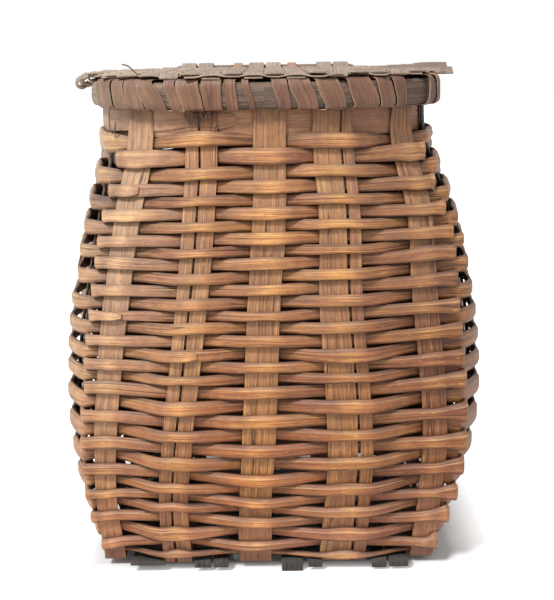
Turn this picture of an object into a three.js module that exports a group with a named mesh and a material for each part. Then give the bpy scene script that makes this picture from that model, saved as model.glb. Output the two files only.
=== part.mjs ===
// A lidded splint basket: 16 stakes bent up from a plaited base, two weavers that chase each other
// round a bellied wall, a lashed double rim, and a plaited lid that turns on a stick behind the rim.
// Millimetres, +Z up, front towards -Y, origin on the ground under the middle of the base.

import * as THREE from 'three';

// Heights
const BASE_Z = 6.9;            // mid level of the plaited base
const FOLD_RADIUS = 4;         // where a stake turns from the base into the wall
const STAKE_TOP_Z = 415;
const MAT_Z = 424.5;           // mid level of the closed lid
const STICK_Y = 161.5;         // hinge stick, behind the rim
const STICK_Z = 424.5;

// Splint sizes
const STAKE_THICK = 2;
const WEAVER_THICK = 4.5;
const GAP = 0.4;

// The wall: height, half-width of the stakes' mid-surface, squareness of the plan, sideways lean
const WALL = [
  { z: 0, half: 143, square: 12, lean: 0 },
  { z: 20, half: 148.6, square: 9, lean: 0 },
  { z: 50, half: 158.2, square: 6.5, lean: 0.1 },
  { z: 80, half: 165.6, square: 5.2, lean: 0.5 },
  { z: 110, half: 171.6, square: 4.5, lean: 1.3 },
  { z: 140, half: 175.2, square: 4.1, lean: 2.4 },
  { z: 170, half: 176, square: 3.85, lean: 3.2 },
  { z: 200, half: 175, square: 3.7, lean: 3.2 },
  { z: 230, half: 172, square: 3.6, lean: 3.1 },
  { z: 260, half: 167.6, square: 3.5, lean: 3.2 },
  { z: 290, half: 162.6, square: 3.4, lean: 3.2 },
  { z: 320, half: 155.8, square: 3.2, lean: 2.3 },
  { z: 350, half: 147, square: 2.9, lean: 0.4 },
  { z: 375, half: 143.4, square: 2.65, lean: -1.4 },
  { z: 395, half: 142.7, square: 2.6, lean: -1.8 },
  { z: 420, half: 142.7, square: 2.6, lean: -1.8 },
];
const RIM_SQUARE = 2.6;
const RIM_LEAN = -1.8;

// Stakes in order, counterclockwise from above, starting at the front middle.
// foot: place of the foot along its side of the base; bearing: degrees from the front, at belly and mouth
const STAKES = [
  { side: 'front', foot: -12, bearing: [-2.6, 1.8], width: [28, 27] },
  { side: 'front', foot: 64.8, bearing: [18.6, 22.5], width: [37, 32] },
  { side: 'front', foot: 133, bearing: [39.8, 48], width: [23, 22] },
  { side: 'right', foot: -66, bearing: [67, 70], width: [25, 22] },
  { side: 'right', foot: 0, bearing: [90, 91], width: [25, 22] },
  { side: 'right', foot: 66, bearing: [113, 112], width: [25, 22] },
  { side: 'back', foot: 133, bearing: [140, 135], width: [23, 22] },
  { side: 'back', foot: 64.8, bearing: [161, 158], width: [37, 28] },
  { side: 'back', foot: -12, bearing: [181.5, 180], width: [28, 26] },
  { side: 'back', foot: -80, bearing: [200, 202], width: [24, 23] },
  { side: 'back', foot: -135, bearing: [220, 226], width: [22, 20] },
  { side: 'left', foot: 66, bearing: [247, 249], width: [25, 22] },
  { side: 'left', foot: 0, bearing: [270, 270], width: [25, 22] },
  { side: 'left', foot: -66, bearing: [293, 291], width: [25, 22] },
  { side: 'front', foot: -135, bearing: [318.8, 314], width: [22, 20] },
  { side: 'front', foot: -80, bearing: [339.5, 339.8], width: [24, 23] },
];
const BELLY_Z = 230;
const MOUTH_Z = 390;
const SQUARE_ON_Z = 12;        // below this a stake faces straight out of its side of the base
const TURNED_Z = 385;          // above this it faces along the wall's own normal

// Rows: height of the row's middle at the front middle, for some of the 33 rows
const ROW_HEIGHTS = [[0, 15.8], [8, 104], [12, 156], [16, 200.5], [28, 326], [33, 383.5]];
const FRONT_CLIMB = 0.6;       // share of the even climb that the weavers have across the front

const smoothstep = (low, high, value) => {
  const t = Math.min(1, Math.max(0, (value - low) / (high - low)));
  return t * t * (3 - 2 * t);
};

// Reads a table of [place, value] pairs along a cubic that passes through every pair.
function alongCubic(pairs, place) {
  const last = pairs.length - 1;
  if (place <= pairs[0][0]) return pairs[0][1];
  if (place >= pairs[last][0]) return pairs[last][1];
  let i = 0;
  while (place > pairs[i + 1][0]) i += 1;
  const slope = (a, b) => (pairs[b][1] - pairs[a][1]) / (pairs[b][0] - pairs[a][0]);
  const span = pairs[i + 1][0] - pairs[i][0];
  const startSlope = slope(Math.max(0, i - 1), i + 1);
  const endSlope = slope(i, Math.min(last, i + 2));
  const t = (place - pairs[i][0]) / span;
  const bend = t * t * (3 - 2 * t);
  return pairs[i][1] * (1 - bend) + pairs[i + 1][1] * bend
    + startSlope * span * t * (1 - t) * (1 - t) - endSlope * span * t * t * (1 - t);
}

const WALL_HALF = WALL.map((row) => [row.z, row.half]);
const WALL_SQUARE = WALL.map((row) => [row.z, row.square]);
const WALL_LEAN = WALL.map((row) => [row.z, row.lean]);

// A point of a rounded square of half-width half, on a bearing in degrees from the front.
function onRoundedSquare(half, square, bearing) {
  const angle = THREE.MathUtils.degToRad(bearing);
  const east = Math.sin(angle);
  const south = Math.cos(angle);
  const reach = half / (Math.abs(east) ** square + Math.abs(south) ** square) ** (1 / square);
  return new THREE.Vector3(reach * east, -reach * south, 0);
}

// The outward direction of the same rounded square at a point on it.
function outwardOf(point, square) {
  const part = (value) => Math.sign(value) * Math.abs(value) ** (square - 1);
  const half = Math.max(Math.abs(point.x), Math.abs(point.y));
  return new THREE.Vector3(part(point.x / half), part(point.y / half), 0).normalize();
}

const SIDE_NORMAL = {
  front: new THREE.Vector3(0, -1, 0),
  back: new THREE.Vector3(0, 1, 0),
  right: new THREE.Vector3(1, 0, 0),
  left: new THREE.Vector3(-1, 0, 0),
};

// The bearing of a stake's foot, from its place along its side of the base.
function footBearing(stake) {
  const z = BASE_Z + FOLD_RADIUS;
  const half = alongCubic(WALL_HALF, z);
  const square = alongCubic(WALL_SQUARE, z);
  const depth = half * (1 - (Math.abs(stake.foot) / half) ** square) ** (1 / square);
  const out = SIDE_NORMAL[stake.side].clone().multiplyScalar(depth);
  const along = Math.abs(out.x) > 0.5 ? new THREE.Vector3(0, stake.foot, 0) : new THREE.Vector3(stake.foot, 0, 0);
  const foot = out.add(along);
  const degrees = THREE.MathUtils.radToDeg(Math.atan2(foot.x, -foot.y));
  return stake.bearing[0] > 180 && degrees < 0 ? degrees + 360 : degrees;
}

const BEARINGS = STAKES.map((stake) => [
  [BASE_Z + FOLD_RADIUS, footBearing(stake)], [BELLY_Z, stake.bearing[0]], [MOUTH_Z, stake.bearing[1]],
]);

function wallPoint(index, z) {
  const bearing = alongCubic(BEARINGS[index], z);
  const point = onRoundedSquare(alongCubic(WALL_HALF, z), alongCubic(WALL_SQUARE, z), bearing);
  point.x += alongCubic(WALL_LEAN, z);
  point.z = z;
  return point;
}

// Middle, upward, sideways (counterclockwise) and outward directions of a stake at a height.
function exactStakeFrame(index, z) {
  const middle = wallPoint(index, z);
  const up = wallPoint(index, z + 1).sub(wallPoint(index, z - 1)).normalize();
  const flat = middle.clone().setZ(0);
  flat.x -= alongCubic(WALL_LEAN, z);
  const turned = THREE.MathUtils.clamp((z - SQUARE_ON_Z) / (TURNED_Z - SQUARE_ON_Z), 0, 1);
  const faces = SIDE_NORMAL[STAKES[index].side].clone().multiplyScalar(1 - turned)
    .addScaledVector(outwardOf(flat, alongCubic(WALL_SQUARE, z)), turned).normalize();
  const sideways = new THREE.Vector3(-faces.y, faces.x, 0);
  const outward = sideways.clone().cross(up).normalize();
  const [footWidth, mouthWidth] = STAKES[index].width;
  const width = footWidth + (mouthWidth - footWidth) * smoothstep(0, MOUTH_Z, z);
  return { middle, up, sideways, outward, width };
}

// Stakes are straight between stations, closer together at the neck, and the weavers read the same ones.
const NECK_Z = 299;
const STATION_STEP = 24;
const NECK_STEP = 11.6;
const STATIONS = [];
for (let z = BASE_Z + FOLD_RADIUS; z < STAKE_TOP_Z; z += z < NECK_Z - 1 ? STATION_STEP : NECK_STEP) STATIONS.push(z);
STATIONS.push(STAKE_TOP_Z);
const STAKE_STATIONS = STAKES.map((stake, index) => STATIONS.map((z) => exactStakeFrame(index, z)));

function stakeFrame(index, z) {
  const frames = STAKE_STATIONS[index];
  const above = Math.min(Math.max(STATIONS.findIndex((station) => station >= z), 1), STATIONS.length - 1);
  const t = (z - STATIONS[above - 1]) / (STATIONS[above] - STATIONS[above - 1]);
  const from = frames[above - 1];
  const to = frames[above];
  return {
    middle: from.middle.clone().lerp(to.middle, t),
    sideways: from.sideways.clone().lerp(to.sideways, t).normalize(),
    width: from.width + (to.width - from.width) * t,
  };
}

// Joins rings of points, all with the same count, into one closed body. The two halves of a ring's
// sides are split along matching diagonals, so that twisted strips can lie close face to face.
function loft(rings, closed = false) {
  const count = rings[0].length;
  const positions = rings.flat().flatMap((p) => [p.x, p.y, p.z]);
  const index = [];
  const ringPairs = closed ? rings.length : rings.length - 1;
  for (let r = 0; r < ringPairs; r += 1) {
    const next = (r + 1) % rings.length;
    for (let k = 0; k < count; k += 1) {
      const a = r * count + k;
      const b = r * count + (k + 1) % count;
      const c = next * count + (k + 1) % count;
      const d = next * count + k;
      if (2 * k < count) index.push(a, b, c, a, c, d);
      else index.push(a, b, d, b, c, d);
    }
  }
  if (!closed) {
    const end = (rings.length - 1) * count;
    for (let k = 1; k < count - 1; k += 1) {
      index.push(0, k + 1, k);
      index.push(end, end + k, end + k + 1);
    }
  }
  const corner = (i) => new THREE.Vector3(positions[3 * i], positions[3 * i + 1], positions[3 * i + 2]);
  let volume = 0;
  for (let i = 0; i < index.length; i += 3) {
    volume += corner(index[i]).dot(corner(index[i + 1]).cross(corner(index[i + 2])));
  }
  if (volume < 0) index.reverse();
  const geometry = new THREE.BufferGeometry();
  geometry.setAttribute('position', new THREE.Float32BufferAttribute(positions, 3));
  geometry.setIndex(index);
  geometry.computeVertexNormals();
  return geometry;
}

// A flat strip: each place has a middle, a width direction and a thickness direction.
function strip(places, thick) {
  return loft(places.map(({ middle, across, through, width }) => {
    const side = across.clone().multiplyScalar(width / 2);
    const half = through.clone().multiplyScalar(thick / 2);
    return [
      middle.clone().sub(side).sub(half), middle.clone().add(side).sub(half),
      middle.clone().add(side).add(half), middle.clone().sub(side).add(half),
    ];
  }));
}

const COLOURS = {
  stake: { color: 0x96683c, roughness: 0.72 },
  weaver: { color: 0xa8743c, roughness: 0.55 },
  dark: { color: 0x4b4540, roughness: 0.8 },
  lashing: { color: 0x8f6a50, roughness: 0.65 },
  lid: { color: 0x8d7f72, roughness: 0.75 },
};

const basket = new THREE.Group();
basket.name = 'lidded_splint_basket';

function addPiece(name, geometry, finish) {
  const material = new THREE.MeshStandardMaterial({ ...COLOURS[finish], metalness: 0 });
  const mesh = new THREE.Mesh(geometry, material);
  mesh.name = name;
  basket.add(mesh);
}

// Base: five stakes run front to back and three run left to right, with flat fillers between them
const MAT_OFFSET = STAKE_THICK + GAP;
const FILLER_THICK = 1.6;
const LEFT_RIGHT_STRIPS = [
  { y: -99, width: 22, stake: false }, { y: -66, width: 25, stake: true }, { y: -33, width: 22, stake: false },
  { y: 0, width: 25, stake: true }, { y: 33, width: 22, stake: false }, { y: 66, width: 25, stake: true },
  { y: 99, width: 22, stake: false },
];
const MAT_MARGIN = 1;

// Front-to-back strips pass over one kind of left-to-right strip and under the other.
function basePlaces(x, width, overStakes, endLevel, startY, endY) {
  const places = [];
  const add = (y, level) => places.push({
    middle: new THREE.Vector3(x, y, BASE_Z + level),
    across: new THREE.Vector3(1, 0, 0),
    through: new THREE.Vector3(0, 0, -1),
    width,
  });
  add(startY, endLevel);
  for (const crossed of LEFT_RIGHT_STRIPS) {
    const level = crossed.stake === overStakes ? MAT_OFFSET : -MAT_OFFSET;
    add(crossed.y - crossed.width / 2 - MAT_MARGIN, level);
    add(crossed.y + crossed.width / 2 + MAT_MARGIN, level);
  }
  add(endY, endLevel);
  return places;
}

const FOLD_STEPS = [30, 60, 90];

// The wall part of a stake from its top down to the base, and its turn into the base.
function wallAndFold(index, across) {
  const places = STAKE_STATIONS[index].map((frame) => ({
    middle: frame.middle, across: frame.sideways.clone().multiplyScalar(across.dot(frame.sideways) < 0 ? -1 : 1),
    through: frame.outward, width: frame.width,
  })).reverse();
  const foot = places[places.length - 1];
  const out = SIDE_NORMAL[STAKES[index].side];
  for (const degrees of FOLD_STEPS) {
    const angle = THREE.MathUtils.degToRad(degrees);
    places.push({
      middle: foot.middle.clone().addScaledVector(out, -FOLD_RADIUS * (1 - Math.cos(angle)))
        .add(new THREE.Vector3(0, 0, -FOLD_RADIUS * Math.sin(angle))),
      across,
      through: out.clone().multiplyScalar(Math.cos(angle)).add(new THREE.Vector3(0, 0, -Math.sin(angle))),
      width: foot.width,
    });
  }
  return places;
}

const ALONG_X = new THREE.Vector3(1, 0, 0);
const ALONG_Y = new THREE.Vector3(0, 1, 0);

// A stake is one splint, or a pair of narrower ones side by side: where each lies across the stake's width
const ONE_SPLINT = [{ part: '', from: -0.5, to: 0.5 }];
const NARROW_THEN_WIDE = [{ part: '_narrow', from: -0.5, to: -0.14 }, { part: '_wide', from: -0.02, to: 0.5 }];
const WIDE_THEN_NARROW = [{ part: '_wide', from: -0.5, to: 0.13 }, { part: '_narrow', from: 0.21, to: 0.5 }];
const FRONT_TO_BACK = [
  { name: 'stake_corner_left', front: 14, back: 10, splints: ONE_SPLINT },
  { name: 'stake_left', front: 15, back: 9, splints: NARROW_THEN_WIDE },
  { name: 'stake_middle', front: 0, back: 8, splints: ONE_SPLINT },
  { name: 'stake_right', front: 1, back: 7, splints: WIDE_THEN_NARROW },
  { name: 'stake_corner_right', front: 2, back: 6, splints: ONE_SPLINT },
];
const LEFT_TO_RIGHT = [
  { name: 'stake_side_front', right: 3, left: 13 },
  { name: 'stake_side_middle', right: 4, left: 12 },
  { name: 'stake_side_back', right: 5, left: 11 },
];

for (const { name, front, back, splints } of FRONT_TO_BACK) {
  const down = wallAndFold(front, ALONG_X);
  const up = wallAndFold(back, ALONG_X).reverse();
  const { foot, width } = STAKES[front];
  const across = basePlaces(foot, width[0], false, 0, 0, 0).slice(1, -1);
  for (const { part, from, to } of splints) {
    const places = [...down, ...across, ...up].map((place) => ({
      ...place,
      middle: place.middle.clone().addScaledVector(place.across, place.width * (from + to) / 2),
      width: place.width * (to - from),
    }));
    addPiece(`${name}${part}`, strip(places, STAKE_THICK), 'stake');
  }
}
for (const { name, right, left } of LEFT_TO_RIGHT) {
  const down = wallAndFold(right, ALONG_Y);
  const up = wallAndFold(left, ALONG_Y).reverse();
  addPiece(name, strip([...down, ...up], STAKE_THICK), 'stake');
}

// Fillers that run front to back; their front ends come out under the wall and turn down to the ground
const FRONT_FILLERS = [
  { x: -108, width: 29 }, { x: -60, width: 14.5 }, { x: -44.5, width: 13 }, { x: 17.4, width: 18 },
  { x: 37.3, width: 12 }, { x: 92.5, width: 13 }, { x: 109.5, width: 17 },
];
const TIP_REACH = 9;           // how far a tip stands out from the foot of the stakes
const TIP_BEND = [             // the turn from flat to upright: inset from the tip, height, degrees turned
  { inset: 0.5, z: BASE_Z - MAT_OFFSET - 0.4, turned: 45 },
  { inset: 0.2, z: BASE_Z - MAT_OFFSET - 1.6, turned: 90 },
  { inset: 0, z: 0, turned: 90 },
];

FRONT_FILLERS.forEach(({ x, width }, n) => {
  const tipY = alongCubic(WALL_HALF, BASE_Z) + TIP_REACH;
  const flatEnd = tipY - FILLER_THICK;
  const places = basePlaces(x, width, true, -MAT_OFFSET, -flatEnd, flatEnd);
  places.forEach((place) => place.through.set(0, 0, 1));
  const tip = (side) => TIP_BEND.map(({ inset, z, turned }) => {
    const angle = THREE.MathUtils.degToRad(turned);
    return {
      middle: new THREE.Vector3(x, side * (tipY - inset), z),
      across: ALONG_X,
      through: new THREE.Vector3(0, side * Math.sin(angle), Math.cos(angle)),
      width,
    };
  });
  addPiece(`base_filler_lengthwise_${n + 1}`, strip([...tip(-1).reverse(), ...places, ...tip(1)], FILLER_THICK), 'dark');
});

const FILLER_HALF_LENGTH = 141.5;
LEFT_RIGHT_STRIPS.filter((crossed) => !crossed.stake).forEach(({ y, width }, n) => {
  const places = [-1, 1].map((side) => ({
    middle: new THREE.Vector3(side * FILLER_HALF_LENGTH, y, BASE_Z),
    across: ALONG_Y,
    through: new THREE.Vector3(0, 0, 1),
    width,
  }));
  addPiece(`base_filler_crosswise_${n + 1}`, strip(places, FILLER_THICK), 'dark');
});

// Wall: two weavers chase each other, each climbing two rows in a turn
const PLATEAU_MARGIN = 2.5;
const WEAVER_CLEAR = 0.65;     // from a stake's face, which turns a little within a row's height
const WEAVER_OFFSET = STAKE_THICK / 2 + WEAVER_CLEAR + WEAVER_THICK / 2;
const ROW_FILL = 0.88;         // a row's width as a share of the row spacing
const WIDE_SHARE = 0.1;        // how much wider weaver a is, and narrower weaver b, near the mouth

const rowHeight = (row) => alongCubic(ROW_HEIGHTS, row);

// The row number reached after some turns: slower across the front, faster across the back.
function rowAfter(turns, firstRow) {
  const ease = (1 - FRONT_CLIMB) * Math.sin(2 * Math.PI * turns) / (2 * Math.PI);
  return firstRow + 2 * (turns - ease);
}

// start, end and splices count stakes passed since the front middle stake of the first turn.
const WEAVERS = [
  { name: 'weaver_a', firstRow: 1, over: 0, start: -7, end: 249, wide: 1, splices: [42, 91, 140, 191, 220] },
  { name: 'weaver_b', firstRow: 0, over: 1, start: -2, end: 260, wide: -1, splices: [41, 84, 126, 171, 216] },
];
const LAP_STAKES = 2;
const CUT_SHARE = 0.6;         // a cut end stops at this share of the reach over its stake
const SHORT_LAPS = [126];      // a lap whose outer end stops in view, past the stake it lies over

// The two places where a weaver lies along one stake, at ends given as shares of its reach there.
function weaverPlaces(weaver, count, layer, ends) {
  const index = ((count % 16) + 16) % 16;
  const turns = count / 16;
  const row = rowAfter(turns, weaver.firstRow);
  const side = index % 2 === weaver.over ? 1 : -1;
  const spacing = rowHeight(row + 0.5) - rowHeight(row - 0.5);
  const height = spacing * (ROW_FILL + weaver.wide * WIDE_SHARE * smoothstep(14, 24, row));
  const z = rowHeight(row);
  const { middle, sideways, width } = stakeFrame(index, z);
  const low = stakeFrame(index, z - height / 2).middle;
  const high = stakeFrame(index, z + height / 2).middle;
  const up = high.clone().sub(low).normalize();
  const outward = sideways.clone().cross(up).normalize();
  const shift = outward.clone().setZ(outward.z / 2);
  shift.multiplyScalar(side * WEAVER_OFFSET / shift.dot(outward));
  return ends.map((end) => ({
    middle: middle.clone().add(low).add(high).divideScalar(3).add(shift)
      .addScaledVector(sideways, end * (width / 2 + PLATEAU_MARGIN)),
    up,
    height,
    layer,
  }));
}

const MITRE_FLOOR = 0.6;       // keeps a mitre from growing long where a path turns sharply

// A weaver's section stands along the wall's slope and is mitred where its path turns.
function weaverGeometry(places) {
  const last = places.length - 1;
  const rings = places.map((place, i) => {
    const before = place.middle.clone().sub(places[Math.max(0, i - 1)].middle);
    const after = places[Math.min(last, i + 1)].middle.clone().sub(place.middle);
    if (i === 0) before.copy(after);
    if (i === last) after.copy(before);
    before.addScaledVector(place.up, -before.dot(place.up)).normalize();
    after.addScaledVector(place.up, -after.dot(place.up)).normalize();
    const along = before.clone().add(after).normalize();
    const out = along.clone().cross(place.up).normalize();
    const mitre = 1 / Math.max(MITRE_FLOOR, along.dot(before));
    const [inner, outer] = place.layer.map((share) => share * WEAVER_THICK * mitre);
    const low = place.middle.clone().addScaledVector(place.up, -place.height / 2);
    const high = place.middle.clone().addScaledVector(place.up, place.height / 2);
    return [
      low.clone().addScaledVector(out, inner), low.clone().addScaledVector(out, outer),
      high.clone().addScaledVector(out, outer), high.clone().addScaledVector(out, inner),
    ];
  });
  return loft(rings);
}

// Inner and outer face of a weaver, and of the two layers of a lap, as shares of its thickness
const LAYER_FULL = [-0.5, 0.5];
const LAYER_INNER = [-0.5, -0.04];
const LAYER_OUTER = [0.04, 0.5];

for (const weaver of WEAVERS) {
  const marks = [weaver.start, ...weaver.splices, weaver.end];
  for (let n = 0; n < marks.length - 1; n += 1) {
    const firstLength = n === 0;
    const lastLength = n === marks.length - 2;
    const from = marks[n];
    const lap = SHORT_LAPS.includes(marks[n + 1]) ? LAP_STAKES - 1 : LAP_STAKES;
    const to = lastLength ? marks[n + 1] : marks[n + 1] + lap;
    const places = [];
    for (let count = from; count <= to; count += 1) {
      let layer = LAYER_FULL;
      if (!firstLength && count <= from + LAP_STAKES) layer = LAYER_INNER;
      if (!lastLength && count >= marks[n + 1]) layer = LAYER_OUTER;
      const ends = [count === from ? -CUT_SHARE : -1, count === to ? CUT_SHARE : 1];
      places.push(...weaverPlaces(weaver, count, layer, ends));
    }
    addPiece(`${weaver.name}_${n + 1}`, weaverGeometry(places), 'weaver');
  }
}

// Rim: a thin band inside the stakes, an inner and an outer hoop that grip the stake tops
const HOOP_STEPS = 48;

function rimPoint(half, z, bearing) {
  const point = onRoundedSquare(half, RIM_SQUARE, bearing);
  point.x += RIM_LEAN;
  point.z = z;
  return point;
}

// A hoop whose section is a closed outline of [half-width, height] pairs.
function hoop(outline) {
  const rings = [];
  for (let n = 0; n < HOOP_STEPS; n += 1) {
    const bearing = 360 * n / HOOP_STEPS;
    rings.push(outline.map(([half, z]) => rimPoint(half, z, bearing)));
  }
  return loft(rings, true);
}

const OUTER_HOOP = { inside: 145.2, outside: 155.2, bottom: 396.2, top: 419 };
const INNER_HOOP = { inside: 134, outside: 141, bottom: 397, top: 418.4 };
const HOOP_ROUND = 3;

addPiece('rim_inner_hoop', hoop([
  [INNER_HOOP.outside, INNER_HOOP.bottom], [INNER_HOOP.outside, INNER_HOOP.top],
  [INNER_HOOP.inside + HOOP_ROUND, INNER_HOOP.top], [INNER_HOOP.inside, (INNER_HOOP.top + INNER_HOOP.bottom) / 2],
  [INNER_HOOP.inside + HOOP_ROUND, INNER_HOOP.bottom],
]), 'dark');
addPiece('rim_outer_hoop', hoop([
  [OUTER_HOOP.inside, OUTER_HOOP.bottom], [OUTER_HOOP.outside - HOOP_ROUND, OUTER_HOOP.bottom],
  [OUTER_HOOP.outside, OUTER_HOOP.bottom + HOOP_ROUND], [OUTER_HOOP.outside, OUTER_HOOP.top - HOOP_ROUND],
  [OUTER_HOOP.outside - HOOP_ROUND, OUTER_HOOP.top], [OUTER_HOOP.inside, OUTER_HOOP.top],
]), 'dark');

const BAND = { inside: 134.7, outside: 136.1, bottom: 378, top: 393.2 };
addPiece('rim_band', hoop([
  [BAND.inside, BAND.bottom], [BAND.outside, BAND.bottom], [BAND.outside, BAND.top], [BAND.inside, BAND.top],
]), 'stake');

// Lashing: a flat splint wound round both hoops, two turns in each space between stakes,
// in two lengths that leave the back middle to the hinge loops.
// spread: how far the two turns of a space part; ahead: share of the way to the next turn
const LASH_THICK = 1;
const LASH_CLEAR = GAP + LASH_THICK / 2;
const LASH_SPREAD = 6;         // half the distance between the two turns of a space, under the hoops
const LASH_LEAN = 5;           // how far a turn leans back on its way up the outer hoop
const UNDER_Z = OUTER_HOOP.bottom - LASH_CLEAR;
const OVER_Z = OUTER_HOOP.top + LASH_CLEAR;
const OUT_HALF = OUTER_HOOP.outside + LASH_CLEAR;
const CHORD_ROOM = 0.5;        // the hoops are chords between steps, so the lashing keeps this much more inside
const IN_HALF = INNER_HOOP.inside - LASH_CLEAR - CHORD_ROOM;
const LASH_ROUTE = [
  { half: OUT_HALF - 2.5, z: UNDER_Z, spread: 1, width: 8.5, ahead: 0, lean: 0 },
  { half: OUT_HALF, z: UNDER_Z + 3, spread: 1.3, width: 12, ahead: 0, lean: 0.1 },
  { half: OUT_HALF, z: OVER_Z - 3, spread: 1.4, width: 13, ahead: 0, lean: 0.9 },
  { half: OUT_HALF - 2.5, z: OVER_Z, spread: 1.4, width: 12.5, ahead: 0, lean: 1 },
  { half: IN_HALF + 3.5, z: OVER_Z, spread: 1.3, width: 9.5, ahead: 0.1, lean: 0.9 },
  { half: IN_HALF, z: OVER_Z - 4, spread: 1.2, width: 8.5, ahead: 0.22, lean: 0.7 },
  { half: IN_HALF, z: UNDER_Z + 3.5, spread: 1, width: 8.5, ahead: 0.94, lean: 0 },
  { half: IN_HALF + 2.5, z: UNDER_Z, spread: 1, width: 8.5, ahead: 1, lean: 0 },
];
const rimDegrees = (distance) => THREE.MathUtils.radToDeg(distance / OUTER_HOOP.outside);

// The turns from one stake number to another: the middle bearing of their space, and their side of it.
function lashTurns(firstStake, lastStake) {
  const turns = [];
  const edge = (count, side) => STAKES[count % 16].bearing[1] + Math.floor(count / 16) * 360
    + side * rimDegrees(STAKES[count % 16].width[1] / 2);
  for (let n = firstStake; n < lastStake; n += 1) {
    const middle = (edge(n, 1) + edge(n + 1, -1)) / 2;
    turns.push({ middle, side: -1 }, { middle, side: 1 });
  }
  return turns;
}

function lashPlaces(turns) {
  const places = [];
  turns.forEach((turn, n) => {
    const next = turns[n + 1] ?? { middle: turn.middle + 2 * rimDegrees(LASH_SPREAD), side: 1 };
    LASH_ROUTE.forEach(({ half, z, spread, width, ahead, lean }) => {
      const bearingOf = ({ middle, side }) => middle + side * spread * rimDegrees(LASH_SPREAD);
      const at = bearingOf(turn) * (1 - ahead) + bearingOf(next) * ahead - rimDegrees(LASH_LEAN) * lean;
      const across = rimPoint(half, z, at + 1).sub(rimPoint(half, z, at - 1)).normalize();
      places.push({ middle: rimPoint(half, z, at), across, width });
    });
  });
  const last = places.length - 1;
  places.forEach((place, i) => {
    const along = places[Math.min(last, i + 1)].middle.clone().sub(places[Math.max(0, i - 1)].middle);
    along.addScaledVector(place.across, -along.dot(place.across)).normalize();
    place.through = place.across.clone().cross(along).normalize();
  });
  return places;
}

// The least distance between one turn's edges and any other turn's, less the splint's thickness.
function leastGap(places) {
  const perTurn = LASH_ROUTE.length;
  const points = [];
  for (let i = 0; i < places.length - 1; i += 1) {
    for (let t = 0; t < 1; t += 0.25) {
      for (const side of [-1, -0.5, 0, 0.5, 1]) {
        const at = (place) => place.middle.clone().addScaledVector(place.across, side * place.width / 2);
        points.push({ at: at(places[i]).lerp(at(places[i + 1]), t), run: i + t });
      }
    }
  }
  let least = Infinity;
  for (const one of points) {
    for (const other of points) {
      if (other.run - one.run > perTurn / 2) least = Math.min(least, one.at.distanceTo(other.at));
    }
  }
  return least - LASH_THICK;
}

const LASHINGS = [
  { name: 'rim_lashing_right', firstStake: 0, lastStake: 7 },
  { name: 'rim_lashing_left', firstStake: 9, lastStake: 16 },
];
for (const { name, firstStake, lastStake } of LASHINGS) {
  const places = lashPlaces(lashTurns(firstStake, lastStake));
  addPiece(name, strip(places, LASH_THICK), 'lashing');
  console.log(`${name}: least gap to itself ${leastGap(places).toFixed(2)} mm`);
}

// Hinge: two closed loops of splint round the outer hoop and the lid's stick
const STICK_RADIUS = 3.5;
const LOOP_THICK = 1.2;
const LOOP_WIDTH = 9;
const LOOP_X = 27.5;
const LOOP_CLEAR = 0.5;
const HOOP_BACK_DROP = 1.9;    // how far the hoop's curve has come forward at the loops
const LOOP_CORNER = 2;         // the loop's cut corner under the hoop
const LOOP_ROUND = [-20, 10, 40, 70, 100, 118];   // degrees round the stick, from straight back
const LOOP_SHOULDER = { inset: 3, rise: 2.6 };    // where the loop comes down over the hoop's top edge

function hingeLoop(x) {
  const reach = STICK_RADIUS + LOOP_CLEAR + LOOP_THICK / 2;
  const near = OUTER_HOOP.inside - HOOP_BACK_DROP - LOOP_CLEAR - LOOP_THICK / 2;
  const far = OUTER_HOOP.outside + LOOP_CLEAR + LOOP_THICK / 2;
  const low = OUTER_HOOP.bottom - LOOP_CLEAR - LOOP_THICK / 2;
  const outline = [[near, low], [far - LOOP_CORNER, low], [far, low + LOOP_CORNER]];
  for (const degrees of LOOP_ROUND) {
    const angle = THREE.MathUtils.degToRad(degrees);
    outline.push([STICK_Y + reach * Math.cos(angle), STICK_Z + reach * Math.sin(angle)]);
  }
  outline.push([near + LOOP_SHOULDER.inset, OUTER_HOOP.top + LOOP_SHOULDER.rise], [near, OUTER_HOOP.top]);
  const rings = outline.map(([y, z], i) => {
    const before = outline[(i + outline.length - 1) % outline.length];
    const after = outline[(i + 1) % outline.length];
    const alongIn = new THREE.Vector2(y - before[0], z - before[1]).normalize();
    const alongOut = new THREE.Vector2(after[0] - y, after[1] - z).normalize();
    const along = alongIn.clone().add(alongOut).normalize();
    const half = LOOP_THICK / 2 / Math.max(MITRE_FLOOR, along.dot(alongIn));
    const corner = (side, out) => new THREE.Vector3(
      x + side * LOOP_WIDTH / 2, y + out * half * along.y, z - out * half * along.x);
    return [corner(-1, -1), corner(1, -1), corner(1, 1), corner(-1, 1)];
  });
  return loft(rings, true);
}
addPiece('hinge_loop_left', hingeLoop(RIM_LEAN - LOOP_X), 'lashing');
addPiece('hinge_loop_right', hingeLoop(RIM_LEAN + LOOP_X), 'lashing');

// Lid: straight laths run left to right, and bending splints run front to back over and under them
const LID_HALF = 156;
const LATH_THICK = 1.8;
const SPLINT_THICK = 1.6;
const LATH_WIDTH = 24;
const SPLINT_WIDTH = 27;
const LATH_COUNT = 9;
const LATH_FRONT_Y = -138.4;
const LATH_PITCH = 33.7;
const SPLINT_PITCH = 34.6;
const LID_GAP = 0.3;
const LID_OFFSET = (LATH_THICK + SPLINT_THICK) / 2 + LID_GAP;
const LID_END_MARGIN = 2;      // a splint crosses only laths that lie at least this far within its ends
const OUTLINE_LIMIT = 0.995;   // keeps the outermost strips from shrinking to nothing
const HOOK_CLEAR = 0.7;
const LATH_ENDS = { left: -171, right: 169.5 };   // ends of the middle lath, which stand past the rim
const CUT_BACK_Y = 139;        // splints beside the hinge loops stop here
const LATHS = Array.from({ length: LATH_COUNT }, (unused, n) => LATH_FRONT_Y + LATH_PITCH * n);

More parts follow.
